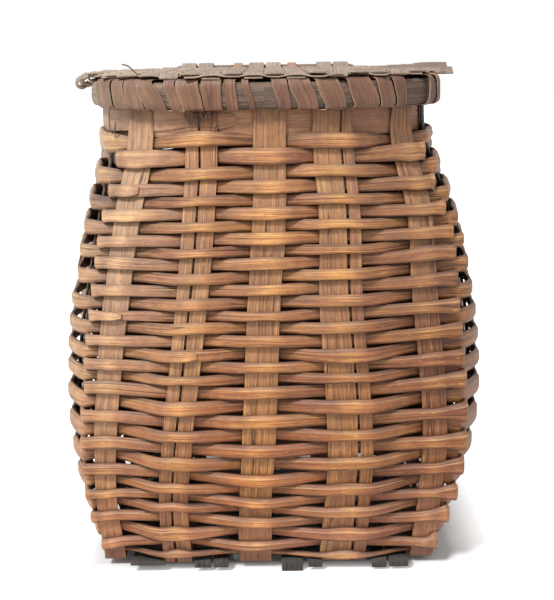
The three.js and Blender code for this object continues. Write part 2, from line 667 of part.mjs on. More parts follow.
// How far the lid's outline reaches on one axis at a place on the other.
function lidReach(place) {
  const share = Math.min(OUTLINE_LIMIT, Math.abs(place) / LID_HALF);
  return LID_HALF * (1 - share ** RIM_SQUARE) ** (1 / RIM_SQUARE);
}

LATHS.forEach((y, n) => {
  const reach = lidReach(Math.abs(y) + LATH_WIDTH / 4);
  const middleLath = n === (LATH_COUNT - 1) / 2;
  const ends = middleLath ? [LATH_ENDS.left, LATH_ENDS.right] : [RIM_LEAN - reach, RIM_LEAN + reach];
  const places = ends.map((x) => ({
    middle: new THREE.Vector3(x, y, MAT_Z), across: ALONG_Y, through: new THREE.Vector3(0, 0, 1), width: LATH_WIDTH,
  }));
  addPiece(`lid_lath_${n + 1}`, strip(places, LATH_THICK), 'lid');
});

const HOOK_RADIUS = STICK_RADIUS + HOOK_CLEAR + SPLINT_THICK / 2;
const HOOK_STEPS = [75, 45, 15, -15, -45, -75, -105, -130];

for (let n = -4; n <= 4; n += 1) {
  const x = n * SPLINT_PITCH + RIM_LEAN;
  const reach = lidReach(Math.abs(n) * SPLINT_PITCH + SPLINT_WIDTH / 4);
  const hooked = n === 0 || Math.abs(n) === 2;
  const backEnd = Math.abs(n) === 1 ? CUT_BACK_Y : reach;
  const places = [];
  const add = (y, z, through = new THREE.Vector3(0, 0, 1)) => places.push({
    middle: new THREE.Vector3(x, y, z), across: ALONG_X, through, width: SPLINT_WIDTH,
  });
  const level = (lath) => MAT_Z + ((lath + n) % 2 === 0 ? LID_OFFSET : -LID_OFFSET);
  const crossed = LATHS.map((y, lath) => ({ y, lath })).filter(({ y }) => Math.abs(y) < reach - LID_END_MARGIN);
  add(-reach, level(crossed[0].lath));
  for (const { y, lath } of crossed) {
    const edges = [y - LATH_WIDTH / 2 - MAT_MARGIN, y + LATH_WIDTH / 2 + MAT_MARGIN];
    const inside = edges.filter((edge) => Math.abs(edge) < reach - MAT_MARGIN && edge < backEnd - MAT_MARGIN);
    inside.forEach((edge) => add(edge, level(lath)));
  }
  if (hooked) {
    for (const degrees of HOOK_STEPS) {
      const angle = THREE.MathUtils.degToRad(degrees);
      add(STICK_Y + HOOK_RADIUS * Math.cos(angle), STICK_Z + HOOK_RADIUS * Math.sin(angle),
        new THREE.Vector3(0, Math.cos(angle), Math.sin(angle)));
    }
  } else {
    add(backEnd, places[places.length - 1].middle.z);
  }
  addPiece(`lid_splint_${n + 5}`, strip(places, SPLINT_THICK), 'lid');
}

const STICK_HALF_LENGTH = 92;
const stick = new THREE.CylinderGeometry(STICK_RADIUS, STICK_RADIUS, 2 * STICK_HALF_LENGTH, 10);
stick.rotateZ(Math.PI / 2);
stick.translate(RIM_LEAN, STICK_Y, STICK_Z);
addPiece('lid_hinge_stick', stick, 'stake');

// The origin goes under the middle of the whole shape
const extent = new THREE.Box3().setFromObject(basket);
const centre = extent.getCenter(new THREE.Vector3());
basket.position.set(-centre.x, -centre.y, 0);
console.log(`moved by ${-centre.x.toFixed(3)}, ${-centre.y.toFixed(3)} mm, lowest point ${extent.min.z.toFixed(3)} mm`);

export default basket;
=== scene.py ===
import bpy
import numpy as np
from mathutils import Euler, Matrix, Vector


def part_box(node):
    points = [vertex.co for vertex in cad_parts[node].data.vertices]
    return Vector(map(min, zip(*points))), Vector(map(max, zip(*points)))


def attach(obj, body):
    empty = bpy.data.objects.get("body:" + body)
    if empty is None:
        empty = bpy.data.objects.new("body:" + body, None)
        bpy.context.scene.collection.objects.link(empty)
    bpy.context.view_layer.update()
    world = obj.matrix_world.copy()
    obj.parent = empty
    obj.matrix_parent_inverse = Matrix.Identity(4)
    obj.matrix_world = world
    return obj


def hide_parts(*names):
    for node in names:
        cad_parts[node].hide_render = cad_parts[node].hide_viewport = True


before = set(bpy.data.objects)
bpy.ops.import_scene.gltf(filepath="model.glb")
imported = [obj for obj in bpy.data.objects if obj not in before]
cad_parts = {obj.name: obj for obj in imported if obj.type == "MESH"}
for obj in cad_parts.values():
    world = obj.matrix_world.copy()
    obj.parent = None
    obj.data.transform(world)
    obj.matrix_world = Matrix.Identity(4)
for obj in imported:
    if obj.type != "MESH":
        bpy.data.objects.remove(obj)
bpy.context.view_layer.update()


# Stakes. Eight stakes of split wood, two of them a narrow and a wide splint side by side, are bent up from
# the plaited base. They run up the wall on both sides of it and end between the two hoops of the rim.
# Sizes are in millimetres, with the front towards -y; they become metres when a mesh is made.
BASE_Z = 6.9
FOLD_RADIUS = 4
FOOT_Z = BASE_Z + FOLD_RADIUS
BELLY_Z = 230
MOUTH_Z = 390
STAKE_TOP_Z = 415
STAKE_THICK = 2
FOOT_LEAN, RIM_LEAN = -2.5, -1.8
WALL = np.array([   # height, half-width, squareness of the plan, sideways lean
    [0, 141, 12, -2.5], [20, 146.6, 9, -2.5], [50, 156.5, 6.5, -2], [80, 165, 5.2, -0.8],
    [110, 171.6, 4.5, 1.3], [140, 175.2, 4.1, 2.4], [170, 176, 3.85, 3.2], [200, 175, 3.7, 3.2],
    [230, 172, 3.6, 3.1], [260, 167.6, 3.5, 3.2], [290, 162.6, 3.4, 3.2], [320, 155.8, 3.2, 2.3],
    [350, 147, 2.9, 0.4], [375, 143.4, 2.65, -1.4], [395, 142.7, 2.6, -1.8], [420, 142.7, 2.6, -1.8]])
STAKES = [          # side of the base, place of the foot, bearing at belly and mouth, width at foot and mouth
    ("front", -12, -2.6, 1.8, 28, 27), ("front", 64.8, 18.6, 22.5, 37, 32), ("front", 133, 39.8, 48, 20, 24),
    ("right", -66, 67, 70, 25, 22), ("right", 0, 90, 91, 25, 22), ("right", 66, 113, 112, 25, 22),
    ("back", 133, 140, 135, 23, 22), ("back", 64.8, 161, 158, 37, 28), ("back", -12, 181.5, 180, 28, 26),
    ("back", -80, 200, 202, 24, 23), ("back", -135, 220, 226, 22, 20),
    ("left", 66, 247, 249, 25, 22), ("left", 0, 270, 270, 25, 22), ("left", -66, 293, 291, 25, 22),
    ("front", -135, 318.8, 318, 18, 25), ("front", -79, 338.4, 339.6, 24, 26)]
AROUND = len(STAKES)
SIDE_OUT = {"front": (0, -1), "right": (1, 0), "back": (0, 1), "left": (-1, 0)}
TURN_FROM, TURN_TO = 12, 385            # heights between which a stake turns to the wall's own normal
CORNER_STAKES, CORNER_TURN = (2, 14), 0.72      # these turn by this share of it, and by the rest at the mouth
TORN_STAKE, TORN_Z = 15, 391.5          # this stake has torn off just under the rim
SLACK_STAKE = 13                        # this one stands further in, by these amounts at these heights
SLACK = ([0, 150, 240, 350, 392], [0, 0, 4.5, 4.5, 0])
ALONG_X, ALONG_Y, UP = np.eye(3)

rim_low, rim_high = (np.array(corner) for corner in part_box("rim_outer_hoop"))
FRAME_SHIFT = (rim_low + rim_high) / 2 * 1000 - (RIM_LEAN, 0, 0)
FRAME_SHIFT[2] = 0


def curve(places, values, at):
    """A cubic through every value, whose slope at a value is that of the line between its neighbours."""
    places, values = np.asarray(places, float), np.asarray(values, float)
    at = np.clip(at, places[0], places[-1])
    last = len(places) - 1
    i = np.clip(np.searchsorted(places, at) - 1, 0, last - 1)
    before, after = np.maximum(np.arange(last + 1) - 1, 0), np.minimum(np.arange(last + 1) + 1, last)
    wide = (slice(None),) + (None,) * (values.ndim - 1)
    slope = (values[after] - values[before]) / (places[after] - places[before])[wide]
    span = places[i + 1] - places[i]
    t = (at - places[i]) / span
    if values.ndim > 1:
        span, t = span[..., None], t[..., None]
    bend = t * t * (3 - 2 * t)
    return (values[i] * (1 - bend) + values[i + 1] * bend
            + slope[i] * span * t * (1 - t) ** 2 - slope[i + 1] * span * t * t * (1 - t))


def unit(vectors):
    """Each vector divided by its length."""
    return vectors / np.linalg.norm(vectors, axis=-1, keepdims=True)


def squared_to(vectors, along):
    """Each vector without its part along a direction, divided by its length."""
    return unit(vectors - along * (vectors * along).sum(1, keepdims=True))


def wall(z):
    """Half-width, squareness and lean of the wall, each a curve through its column of the table."""
    return [curve(WALL[:, 0], WALL[:, column], z) for column in (1, 2, 3)]


def ring(half, square, bearing):
    """A rounded square: (|x|^n + |y|^n)^(1/n) = half, at bearings in degrees counted from the front."""
    angle = np.radians(bearing)
    east, south = np.sin(angle), np.cos(angle)
    reach = half / (np.abs(east) ** square + np.abs(south) ** square) ** (1 / square)
    return np.stack([reach * east, -reach * south], -1)


def foot_bearing(stake):
    """The bearing of the point of the foot's rounded square that lies at the stake's place on its side."""
    half, square, _ = wall(FOOT_Z)
    depth = half * (1 - (abs(stake[1]) / half) ** square) ** (1 / square)
    out = np.array(SIDE_OUT[stake[0]])
    point = out * depth + np.abs(out[::-1]) * stake[1]
    degrees = np.degrees(np.arctan2(point[0], -point[1]))
    return degrees + 360 if stake[2] > 180 and degrees < 0 else degrees


def wall_point(index, z):
    """The rounded square of that height, met by the stake's bearing there, plus the wall's lean."""
    stake = STAKES[index]
    half, square, lean = wall(z)
    bearing = curve([FOOT_Z, BELLY_Z, MOUTH_Z], [foot_bearing(stake), stake[2], stake[3]], z)
    flat = ring(half, square, bearing)
    inward = curve(*SLACK, z) * (index == SLACK_STAKE)
    return np.stack([flat[..., 0] + lean + inward, flat[..., 1], z + 0 * flat[..., 0]], -1)


def stake_frame(index, z):
    """Middle, up, sideways and outward directions of a stake: it faces straight out of its side of the
    base at the foot, along the wall's own normal at the rim, and in between by its height."""
    z = np.asarray(z, float)
    _, square, lean = wall(z)
    middle = wall_point(index, z)
    up = unit(wall_point(index, z + 1) - wall_point(index, z - 1))
    flat = middle[..., :2] - np.stack([lean, 0 * z], -1)
    half = np.abs(flat).max(-1, keepdims=True)
    normal = unit(np.sign(flat) * np.abs(flat / half) ** (square[..., None] - 1))
    turned = np.clip((z - TURN_FROM) / (TURN_TO - TURN_FROM), 0, 1)[..., None]
    if index in CORNER_STAKES:
        turned = turned * CORNER_TURN + (1 - CORNER_TURN) * np.clip((z[..., None] - 380) / 18, 0, 1)
    face = unit(np.array(SIDE_OUT[STAKES[index][0]]) * (1 - turned) + normal * turned)
    side = np.stack([-face[..., 1], face[..., 0], 0 * face[..., 0]], -1)
    return middle, up, side, unit(np.cross(side, up))


def stake_width(index, z):
    """From the foot's width to the mouth's along a smooth step."""
    foot, mouth = STAKES[index][4:]
    t = np.clip(np.asarray(z, float) / MOUTH_Z, 0, 1)
    return foot + (mouth - foot) * t * t * (3 - 2 * t)


def wander(along, size, seed, longest=180.0):
    """A smooth, uneven line: the sum of five sine waves with seeded lengths, strengths and phases."""
    rng = np.random.default_rng(seed)
    lengths = longest / np.array([1, 1.7, 2.9, 4.6, 7.3]) * rng.uniform(0.8, 1.25, 5)
    sizes = np.array([1, 0.7, 0.45, 0.3, 0.18]) * rng.uniform(0.6, 1.3, 5)
    phases = rng.uniform(0, 2 * np.pi, 5)
    waves = np.sin(np.asarray(along)[..., None] * 2 * np.pi / lengths + phases)
    return size * (waves * sizes).sum(-1) / 1.4


def lengths_along(points):
    """The distance of each point of a line from its first one, measured along the line."""
    return np.concatenate([[0], np.cumsum(np.linalg.norm(np.diff(points, axis=0), axis=1))])


def evenly(points, step):
    """Distances along a line of points, and the distances of stations set a step apart on it."""
    place = lengths_along(points)
    return place, np.linspace(0, place[-1], max(3, int(round(place[-1] / step)) + 1))


# Places across a splint from one edge to the other, on the outer face of a flat and of a riven splint and
# on the inner face. A riven splint has a bevel along each edge, and a painted highlight along the arris
# where the bevel begins.
FLAT_FACE = np.array([1, 0.985, 0.93, 0.75, 0.3, -0.3, -0.75, -0.93, -0.985, -1])
RIVEN_FACE = np.array([1, 0.98, 0.92, 0.78, 0.64, 0.54, 0.47, 0.38, 0.15,
                       -0.3, -0.5, -0.62, -0.8, -0.93, -0.985, -1])
INNER_FACE = np.array([-0.96, -0.7, 0, 0.7, 0.96])
HIGH_BEVEL, LOW_BEVEL = 0.47, 0.5
# Where the painted highlight lies along the upper and the lower arris, and how far it spreads
HIGH_ARRIS, LOW_ARRIS, ARRIS_SPREAD = 0.5, -0.52, 0.09
# Painted shade laid over the inner face of every splint
INSIDE_SHADE = 0.8


def splint(middle, across, through, width, thick, square=7.0, high=0.0, low=0.0, closed=False,
           tone=0.0, shade=0.0, crown=0.0):
    """A splint carried along a path. Its section is |x|^n + |y|^n = 1, stretched to width and thickness. On
    the outer face of a riven one, two bevels drop by high and low times its depth. The width lies on
    across, the thickness on through, and the middle bulges outwards by the crown. The grain starts at a
    place of its own on each splint. Returns points, quads, end faces, their UV in metres, and for each
    point: tone; shade, the given values plus painted shade over the whole inner face; how near an edge
    it is; how near an arris it is, for a painted highlight there; and how far it faces up."""
    count, riven = len(middle), np.any(high)
    across, through = np.broadcast_to(across, middle.shape), np.broadcast_to(through, middle.shape)
    width, thick, square, high, low, tone, shade, crown = (
        np.broadcast_to(np.asarray(value, float), (count,))[:, None]
        for value in (width, thick, square, high, low, tone, shade, crown))
    face = RIVEN_FACE if riven else FLAT_FACE
    x = np.concatenate([face, INNER_FACE])[None, :]
    sides = x.shape[1]
    outer = np.arange(sides) < len(face)
    depth = (1 - np.abs(x) ** square) ** (1 / square)
    drop = (high * np.clip((x - HIGH_BEVEL) / (1 - HIGH_BEVEL), 0, 1)
            + low * np.clip((-x - LOW_BEVEL) / (1 - LOW_BEVEL), 0, 1))
    y = np.where(outer, depth * (1 - drop), -depth)
    spots = (middle[:, None] + across[:, None] * (x * width / 2)[..., None]
             + through[:, None] * (y * thick / 2 + crown * (1 - x * x))[..., None])
    turn_x = (np.roll(x, -1, 1) - np.roll(x, 1, 1)) * width
    turn_y = (np.roll(y, -1, 1) - np.roll(y, 1, 1)) * thick
    pointing = unit(across[:, None] * turn_y[..., None] - through[:, None] * turn_x[..., None])
    own_start = abs(float(middle[0] @ (3.1, 5.7, 7.3))) % 97 / 10
    u = own_start + lengths_along(middle) / 1000
    around = np.linalg.norm(np.roll(spots, -1, 1) - spots, axis=2).mean(0)
    v = np.concatenate([[0], np.cumsum(around)]) / 1000
    i, j = np.meshgrid(np.arange(count if closed else count - 1), np.arange(sides), indexing="ij")
    far, next_j = (i + 1) % count, (j + 1) % sides
    corners = [i * sides + j, i * sides + next_j, far * sides + next_j, far * sides + j]
    quads = np.stack(corners, -1).reshape(-1, 4)
    u_near, u_far = u[i], np.append(u, u[-1] + np.diff(u).mean())[i + 1]
    uv = np.stack([np.stack([u_near, v[j]], -1), np.stack([u_near, v[j + 1]], -1),
                   np.stack([u_far, v[j + 1]], -1), np.stack([u_far, v[j]], -1)], 2).reshape(-1, 4, 2)
    ends = np.array([np.arange(sides)[::-1], np.arange(sides) + (count - 1) * sides])[:0 if closed else 2]
    end_uv = (np.stack([np.broadcast_to(x * width, y.shape), y * thick], -1).reshape(-1, 2) / 1000)[ends]
    if (np.cross(across, through) * np.gradient(middle, axis=0)).sum() < 0:
        quads, uv, ends, end_uv = quads[:, ::-1], uv[:, ::-1], ends[:, ::-1], end_uv[:, ::-1]
    # Painted highlight along the upper arris, and along the lower one as strongly as the low bevel is deep
    arris_highlight_mask = (np.exp(-((x - HIGH_ARRIS) / ARRIS_SPREAD) ** 2)
                  + low * np.exp(-((x - LOW_ARRIS) / ARRIS_SPREAD) ** 2))
    # Edge value, strongest at the lower edge of a riven splint; with the weavers' dark edge colour it paints
    # shade along each row's edges
    edge_power = np.where(riven, np.where(x < 0, 6, 10), 14)
    # Shade: the given values plus painted shade over the inner face
    numbers = {"tone": tone, "shade": np.clip(shade + INSIDE_SHADE * ~outer, 0, 1),
               "edge": np.where(x > 0, 0.6, 1) * np.abs(x) ** edge_power,
               "arris_highlight": np.where(outer, arris_highlight_mask, 0) * riven, "dust": np.clip(pointing[..., 2], 0, 1)}
    numbers = {key: np.broadcast_to(value, y.shape).ravel() for key, value in numbers.items()}
    return spots.reshape(-1, 3), quads, ends, uv, end_uv, numbers


def path_splint(points, up, width, thick, step=4.0, **more):
    """A splint along a smooth curve through points. Its width is the up direction squared to the curve,
    its thickness the direction at right angles to both. Values given for each point follow the curve."""
    place, at = evenly(points, step)
    middle = curve(place, points, at)
    along = unit(np.gradient(middle, axis=0))
    across = squared_to(curve(place, np.broadcast_to(up, points.shape), at), along)
    value = lambda given: curve(place, given, at) if np.ndim(given) else given
    more = {key: value(given) for key, given in more.items()}
    return splint(middle, across, np.cross(along, across), value(width), value(thick), **more)


def make_piece(name, splints, material, body, finish, *nodes):
    """Joins splints into one mesh in metres, smooth except where faces meet at more than 32 degrees."""
    spots = np.concatenate([one[0] for one in splints]) + FRAME_SHIFT
    starts = np.cumsum([0] + [len(one[0]) for one in splints])
    quads = np.concatenate([one[1] + start for one, start in zip(splints, starts)])
    ends = np.concatenate([one[2] + start for one, start in zip(splints, starts)])
    uv = np.concatenate([one[k].reshape(-1, 2) for k in (3, 4) for one in splints])
    mesh = bpy.data.meshes.new(name)
    mesh.vertices.add(len(spots))
    mesh.vertices.foreach_set("co", (spots / 1000).ravel())
    mesh.loops.add(quads.size + ends.size)
    mesh.loops.foreach_set("vertex_index", np.concatenate([quads.ravel(), ends.ravel()]))
    mesh.polygons.add(len(quads) + len(ends))
    mesh.polygons.foreach_set("loop_start", np.concatenate([
        np.arange(0, quads.size, 4), quads.size + ends.shape[1] * np.arange(len(ends))]))
    mesh.update(calc_edges=True)
    mesh.uv_layers.new(name="splint").data.foreach_set("uv", uv.ravel())
    for key in splints[0][5]:
        numbers = mesh.attributes.new(key, "FLOAT", "POINT")
        numbers.data.foreach_set("value", np.concatenate([one[5][key] for one in splints]))
    mesh.polygons.foreach_set("use_smooth", np.ones(len(mesh.polygons), bool))
    mesh.set_sharp_from_angle(angle=np.radians(32))
    mesh.materials.append(material)
    piece = bpy.data.objects.new(name, mesh)
    bpy.context.scene.collection.objects.link(piece)
    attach(piece, body)
    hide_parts(*nodes)


def linear(red, green, blue):
    """A screen colour of 0 to 255 as linear light: ((c + 0.055) / 1.055)^2.4."""
    share = np.array([red, green, blue]) / 255
    return tuple(np.where(share < 0.04045, share / 12.92, ((share + 0.055) / 1.055) ** 2.4)) + (1.0,)


def node(tree, kind, values=None, **settings):
    """Adds a shader node; a value goes to the input of that name or number, and an output is linked to it."""
    made = tree.nodes.new("ShaderNode" + kind)
    for key, value in settings.items():
        setattr(made, key, value)
    for key, value in (values or {}).items():
        if isinstance(value, bpy.types.NodeSocket):
            tree.links.new(value, made.inputs[key])
        else:
            made.inputs[key].default_value = value
    return made


def maths(tree, operation, *values):
    """The output of one Math node."""
    return node(tree, "Math", dict(enumerate(values)), operation=operation).outputs[0]


def ranged(tree, value, start, end, low=0.0, high=1.0):
    """The output of one Map Range node: low up to start, high from end on, a straight line between them."""
    return node(tree, "MapRange", {0: value, 1: start, 2: end, 3: low, 4: high}).outputs[0]


def new_group(name, inputs, outputs):
    """A shader node group with named number inputs and outputs."""
    group = bpy.data.node_groups.new(name, "ShaderNodeTree")
    for key, value in inputs.items():
        socket = group.interface.new_socket(key, in_out="INPUT", socket_type="NodeSocketFloat")
        socket.default_value = value
    for key in outputs:
        group.interface.new_socket(key, in_out="OUTPUT", socket_type="NodeSocketFloat")
    return group, group.nodes.new("NodeGroupInput"), group.nodes.new("NodeGroupOutput")


# Wood fibres: noise drawn out along the splint, long thin cracks where a slower noise crosses its middle,
# and short dark and pale flecks.
fibres, given, result = new_group(
    "wood_fibres", {"Fibre Width": 0.0012, "Fibre Length": 0.05, "Crack Spacing": 0.007},
    ["Streak", "Fine", "Crack", "Dark Fleck", "Pale Fleck", "Height"])
fibre_width, fibre_length, crack_spacing = given.outputs[:3]
along_uv = node(fibres, "SeparateXYZ", {0: node(fibres, "UVMap", uv_map="splint").outputs[0]})


def fibre_noise(length, width, detail, shift):
    """Noise on (along / length, across / width) at a depth of its own."""
    place = node(fibres, "CombineXYZ", {
        0: maths(fibres, "DIVIDE", along_uv.outputs[0], length),
        1: maths(fibres, "DIVIDE", along_uv.outputs[1], width), 2: shift})
    noise = node(fibres, "TexNoise", {
        "Vector": place.outputs[0], "Scale": 1.0, "Detail": detail, "Roughness": 0.6})
    return noise.outputs["Fac"]


streak = fibre_noise(fibre_length, maths(fibres, "MULTIPLY", fibre_width, 3.0), 5.0, 0.0)
fine = fibre_noise(maths(fibres, "MULTIPLY", fibre_length, 0.5), fibre_width, 3.0, 7.0)
crack_line = fibre_noise(0.22, crack_spacing, 0.0, 19.0)
crack_where = fibre_noise(0.09, 0.012, 1.0, 31.0)
off_line = maths(fibres, "ABSOLUTE", maths(fibres, "SUBTRACT", crack_line, 0.5))
crack = maths(fibres, "MULTIPLY", ranged(fibres, off_line, 0.004, 0.016, 1.0, 0.0),
              ranged(fibres, crack_where, 0.48, 0.6))
fleck = fibre_noise(0.009, 0.0022, 1.0, 43.0)
relief = maths(fibres, "ADD", maths(fibres, "MULTIPLY", streak, 0.6), maths(fibres, "MULTIPLY", fine, 0.5))
for key, value in (
        ("Streak", streak), ("Fine", fine), ("Crack", crack),
        ("Dark Fleck", ranged(fibres, fleck, 0.62, 0.7)), ("Pale Fleck", ranged(fibres, fleck, 0.36, 0.28)),
        ("Height", maths(fibres, "SUBTRACT", relief, maths(fibres, "MULTIPLY", crack, 0.9)))):
    fibres.links.new(value, result.inputs[key])

# Age: large patches, small mottling, and masks for low down, for the foot, for painted shade on the
# right side, most of all below the mouth, and for painted light on the left side high up.
ageing, given, result = new_group(
    "age_of_wood", {"Patch Size": 0.12, "Mottle Size": 0.015},
    ["Patch", "Mottle", "Low", "Foot", "Right", "Left"])
here = node(ageing, "TexCoord").outputs["Object"]
place_x, _, place_z = node(ageing, "SeparateXYZ", {0: here}).outputs
for key, size, detail in (("Patch", "Patch Size", 4.0), ("Mottle", "Mottle Size", 3.0)):
    scale = maths(ageing, "DIVIDE", 1.0, given.outputs[size])
    noise = node(ageing, "TexNoise", {"Vector": here, "Scale": scale, "Detail": detail, "Roughness": 0.6})
    ageing.links.new(ranged(ageing, noise.outputs["Fac"], 0.36, 0.64), result.inputs[key])
low_down = ranged(ageing, place_z, 0.26, 0.03)
right = maths(ageing, "MULTIPLY", ranged(ageing, place_x, 0.02, 0.15),
              ranged(ageing, place_z, 0.3, 0.2, 0.45, 1.5))
left = ranged(ageing, place_x, -0.05, -0.15)
for key, value in (
        ("Low", low_down), ("Foot", ranged(ageing, place_z, 0.09, 0.01)),
        ("Right", maths(ageing, "MULTIPLY", right, maths(ageing, "MULTIPLY_ADD", low_down, -0.75, 1.0))),
        ("Left", maths(ageing, "MULTIPLY", left, maths(ageing, "SUBTRACT", 1.0, low_down)))):
    ageing.links.new(value, result.inputs[key])


def aged_splint(name, dark, middle, light, patina, patina_share, low, edge, edge_share, dust, dust_share,
                rough, fibre=(0.0012, 0.05, 0.007), cracks=0.7, relief=0.0006, gloss=0.35,
                arris_highlight_colour=(232, 190, 136), arris_highlight_share=0.0, foot_share=0.0):
    """Old splint: a ramp of three browns on the fibres under a list of coats, each of which covers by its
    mask times its share. It is greyed in patches, tinted low down, darker to the right by painted shade,
    paler at the upper left by painted light, paler at the foot, flecked, coloured on its edges (on the
    weavers a dark colour that paints shade along each row), given a painted highlight along an arris,
    dusty on top, dark in cracks, and darker by its shade values, which are painted shade where it is
    tucked away and the own dark colour of a stray fibre."""
    material = bpy.data.materials.new(name)
    material.use_nodes = True
    tree = material.node_tree
    shader = tree.nodes["Principled BSDF"]
    fibre_group = node(tree, "Group", node_tree=fibres)
    for key, value in zip(("Fibre Width", "Fibre Length", "Crack Spacing"), fibre):
        fibre_group.inputs[key].default_value = value
    grain, age = fibre_group.outputs, node(tree, "Group", node_tree=ageing).outputs
    own = {key: node(tree, "Attribute", attribute_name=key).outputs["Fac"]
           for key in ("tone", "edge", "arris_highlight", "dust", "shade")}
    mixed = maths(tree, "ADD", maths(tree, "MULTIPLY", grain["Streak"], 0.5),
                  maths(tree, "MULTIPLY", grain["Fine"], 0.5))
    ramp = node(tree, "ValToRGB", {0: mixed})
    stops = ramp.color_ramp.elements
    stops[0].position, stops[0].color = 0.36, linear(*dark)
    stops[1].position, stops[1].color = 0.64, linear(*light)
    stops.new(0.5).color = linear(*middle)
    # Painted highlight along the arris, broken up along the grain
    painted_arris_highlight = maths(tree, "MULTIPLY", own["arris_highlight"], maths(tree, "MULTIPLY_ADD", grain["Streak"], 2.4, -0.7))
    dusty = maths(tree, "MULTIPLY", maths(tree, "MULTIPLY", own["dust"], dust_share),
                  maths(tree, "MULTIPLY_ADD", age["Mottle"], 0.4, 0.6))
    colour = ramp.outputs[0]
    for mask, share, coat, mode in (
            (age["Patch"], patina_share, patina, "MIX"), (age["Low"], 1.0, low, "MULTIPLY"),
            # Painted shade to the right, and painted light at the upper left
            (age["Right"], 1.0, (198, 184, 180), "MULTIPLY"), (age["Left"], 0.36, (226, 206, 178), "MIX"),
            (age["Foot"], foot_share, (190, 148, 128), "MIX"), (age["Mottle"], 0.3, dark, "MIX"),
            (grain["Dark Fleck"], 0.35, dark, "MIX"), (grain["Pale Fleck"], 0.35, light, "MIX"),
            (own["edge"], edge_share, edge, "MIX"), (painted_arris_highlight, arris_highlight_share, arris_highlight_colour, "MIX"),
            (dusty, 1.0, dust, "MIX"), (grain["Crack"], cracks, (38, 26, 20), "MIX"),
            # Painted shade where a splint is tucked away
            (own["shade"], 0.8, (124, 100, 84), "MULTIPLY")):
        cover = maths(tree, "MULTIPLY", mask, share)
        coated = node(tree, "Mix", {0: cover, 6: colour, 7: linear(*coat)}, data_type="RGBA", blend_type=mode)
        colour = coated.outputs[2]
    toned = node(tree, "HueSaturation", {
        "Color": colour, "Hue": maths(tree, "MULTIPLY_ADD", own["tone"], 0.006, 0.5),
        "Value": maths(tree, "MULTIPLY_ADD", own["tone"], 0.13, 1.0)})
    tree.links.new(toned.outputs[0], shader.inputs["Base Color"])
    matt = maths(tree, "ADD", maths(tree, "MULTIPLY_ADD", grain["Streak"], 0.18, rough - 0.09),
                 maths(tree, "MULTIPLY", dusty, 0.3))
    tree.links.new(matt, shader.inputs["Roughness"])
    shader.inputs["Specular IOR Level"].default_value = gloss
    bump = node(tree, "Bump", {"Height": grain["Height"], "Distance": relief, "Strength": 0.8})
    tree.links.new(bump.outputs[0], shader.inputs["Normal"])
    return material


stake_wood = aged_splint(
    "stake_splint_aged", dark=(84, 50, 30), middle=(168, 114, 70), light=(220, 164, 108),
    patina=(150, 112, 84), patina_share=0.4, low=(255, 238, 220), edge=(176, 132, 88), edge_share=0.3,
    dust=(150, 128, 110), dust_share=0.5, rough=0.55, fibre=(0.0009, 0.09, 0.006), cracks=0.8,
    relief=0.0011, gloss=0.45, foot_share=0.3)
side_stake_wood = aged_splint(
    "stake_splint_grey", dark=(52, 50, 46), middle=(84, 82, 76), light=(120, 114, 104),
    patina=(74, 76, 74), patina_share=0.5, low=(250, 240, 230), edge=(60, 54, 48), edge_share=0.4,
    dust=(118, 112, 104), dust_share=0.4, rough=0.7, fibre=(0.0009, 0.09, 0.006), cracks=0.8, relief=0.0008)


def wall_part(index, along):
    """Stations of a stake from its top to its foot, and its quarter turn into the base."""
    top = TORN_Z if index == TORN_STAKE else STAKE_TOP_Z
    z = np.concatenate([np.arange(top, FOOT_Z + 3, -5.0), [FOOT_Z]])
    middle, _, side, out = stake_frame(index, z)
    side = side * np.where((side * along).sum(1, keepdims=True) < 0, -1, 1)
    face = np.array(SIDE_OUT[STAKES[index][0]] + (0,), float)
    angle = np.radians([18, 36, 54, 72, 90])[:, None]
    turn = middle[-1] - face * FOLD_RADIUS * (1 - np.cos(angle)) - UP * FOLD_RADIUS * np.sin(angle)
    through = face * np.cos(angle) - UP * np.sin(angle)
    width = np.concatenate([stake_width(index, z), np.full(len(turn), STAKES[index][4])])
    return (np.concatenate([middle, turn]), np.concatenate([side, np.repeat([along], len(turn), 0)]),
            np.concatenate([out, through]), width)


# The strips that a front-to-back splint of the base crosses: place, width, and whether it is a stake
STRIP_PITCH, FILLER_WIDTH, SIDE_STAKE_WIDTH = 33, 22, 25
CROSSED = [(STRIP_PITCH * k, FILLER_WIDTH if k % 2 else SIDE_STAKE_WIDTH, not k % 2) for k in range(-3, 4)]
PLAIT_RISE = 2.4


def base_run(x, over_stakes):
    """The path of a front-to-back splint, which lies in turn over and under the strips that it crosses."""
    y, z = np.array([(y + side * width * 0.3, BASE_Z + PLAIT_RISE * (1 if stake == over_stakes else -1))
                     for y, width, stake in CROSSED for side in (-1, 1)]).T
    at = np.arange(y[0] - 8, y[-1] + 8.1, 4.0)
    return np.stack([np.full(len(at), x), at, curve(y, z, at)], -1)


def stake_splint(index_down, index_up, along, between, first, last, seed):
    """A whole stake, or its share of the width from first to last: down one wall, across the base by the
    run between them, if one is given, and up the other wall. It is darker by painted shade under the rim
    and at the foot."""
    parts = [wall_part(index_down, along), tuple(part[::-1] for part in wall_part(index_up, along))]
    if between is not None:
        through = -unit(np.cross(along, np.gradient(between, axis=0)))
        parts.insert(1, (between + ALONG_X * FOOT_LEAN, np.repeat([along], len(between), 0), through,
                         np.full(len(between), STAKES[index_down][4])))
    middle, across, through, width = (np.concatenate(pick) for pick in zip(*parts))
    place = lengths_along(middle)
    middle = middle + across * (width * (first + last) / 2)[:, None]
    width = width * (last - first) * (1 + wander(place, 0.025, seed, 160))
    # Painted shade under the rim's hoops and near the ground
    under_rim, at_foot = np.clip((middle[:, 2] - 368) / 26, 0, 1), np.clip((26 - middle[:, 2]) / 20, 0, 1)
    return splint(middle, across, through, width, STAKE_THICK, square=8,
                  shade=under_rim * 0.6 + at_foot * 0.8,
                  tone=wander(place, 0.5, seed + 40, 300) + (seed % 5 - 2) * 0.15)


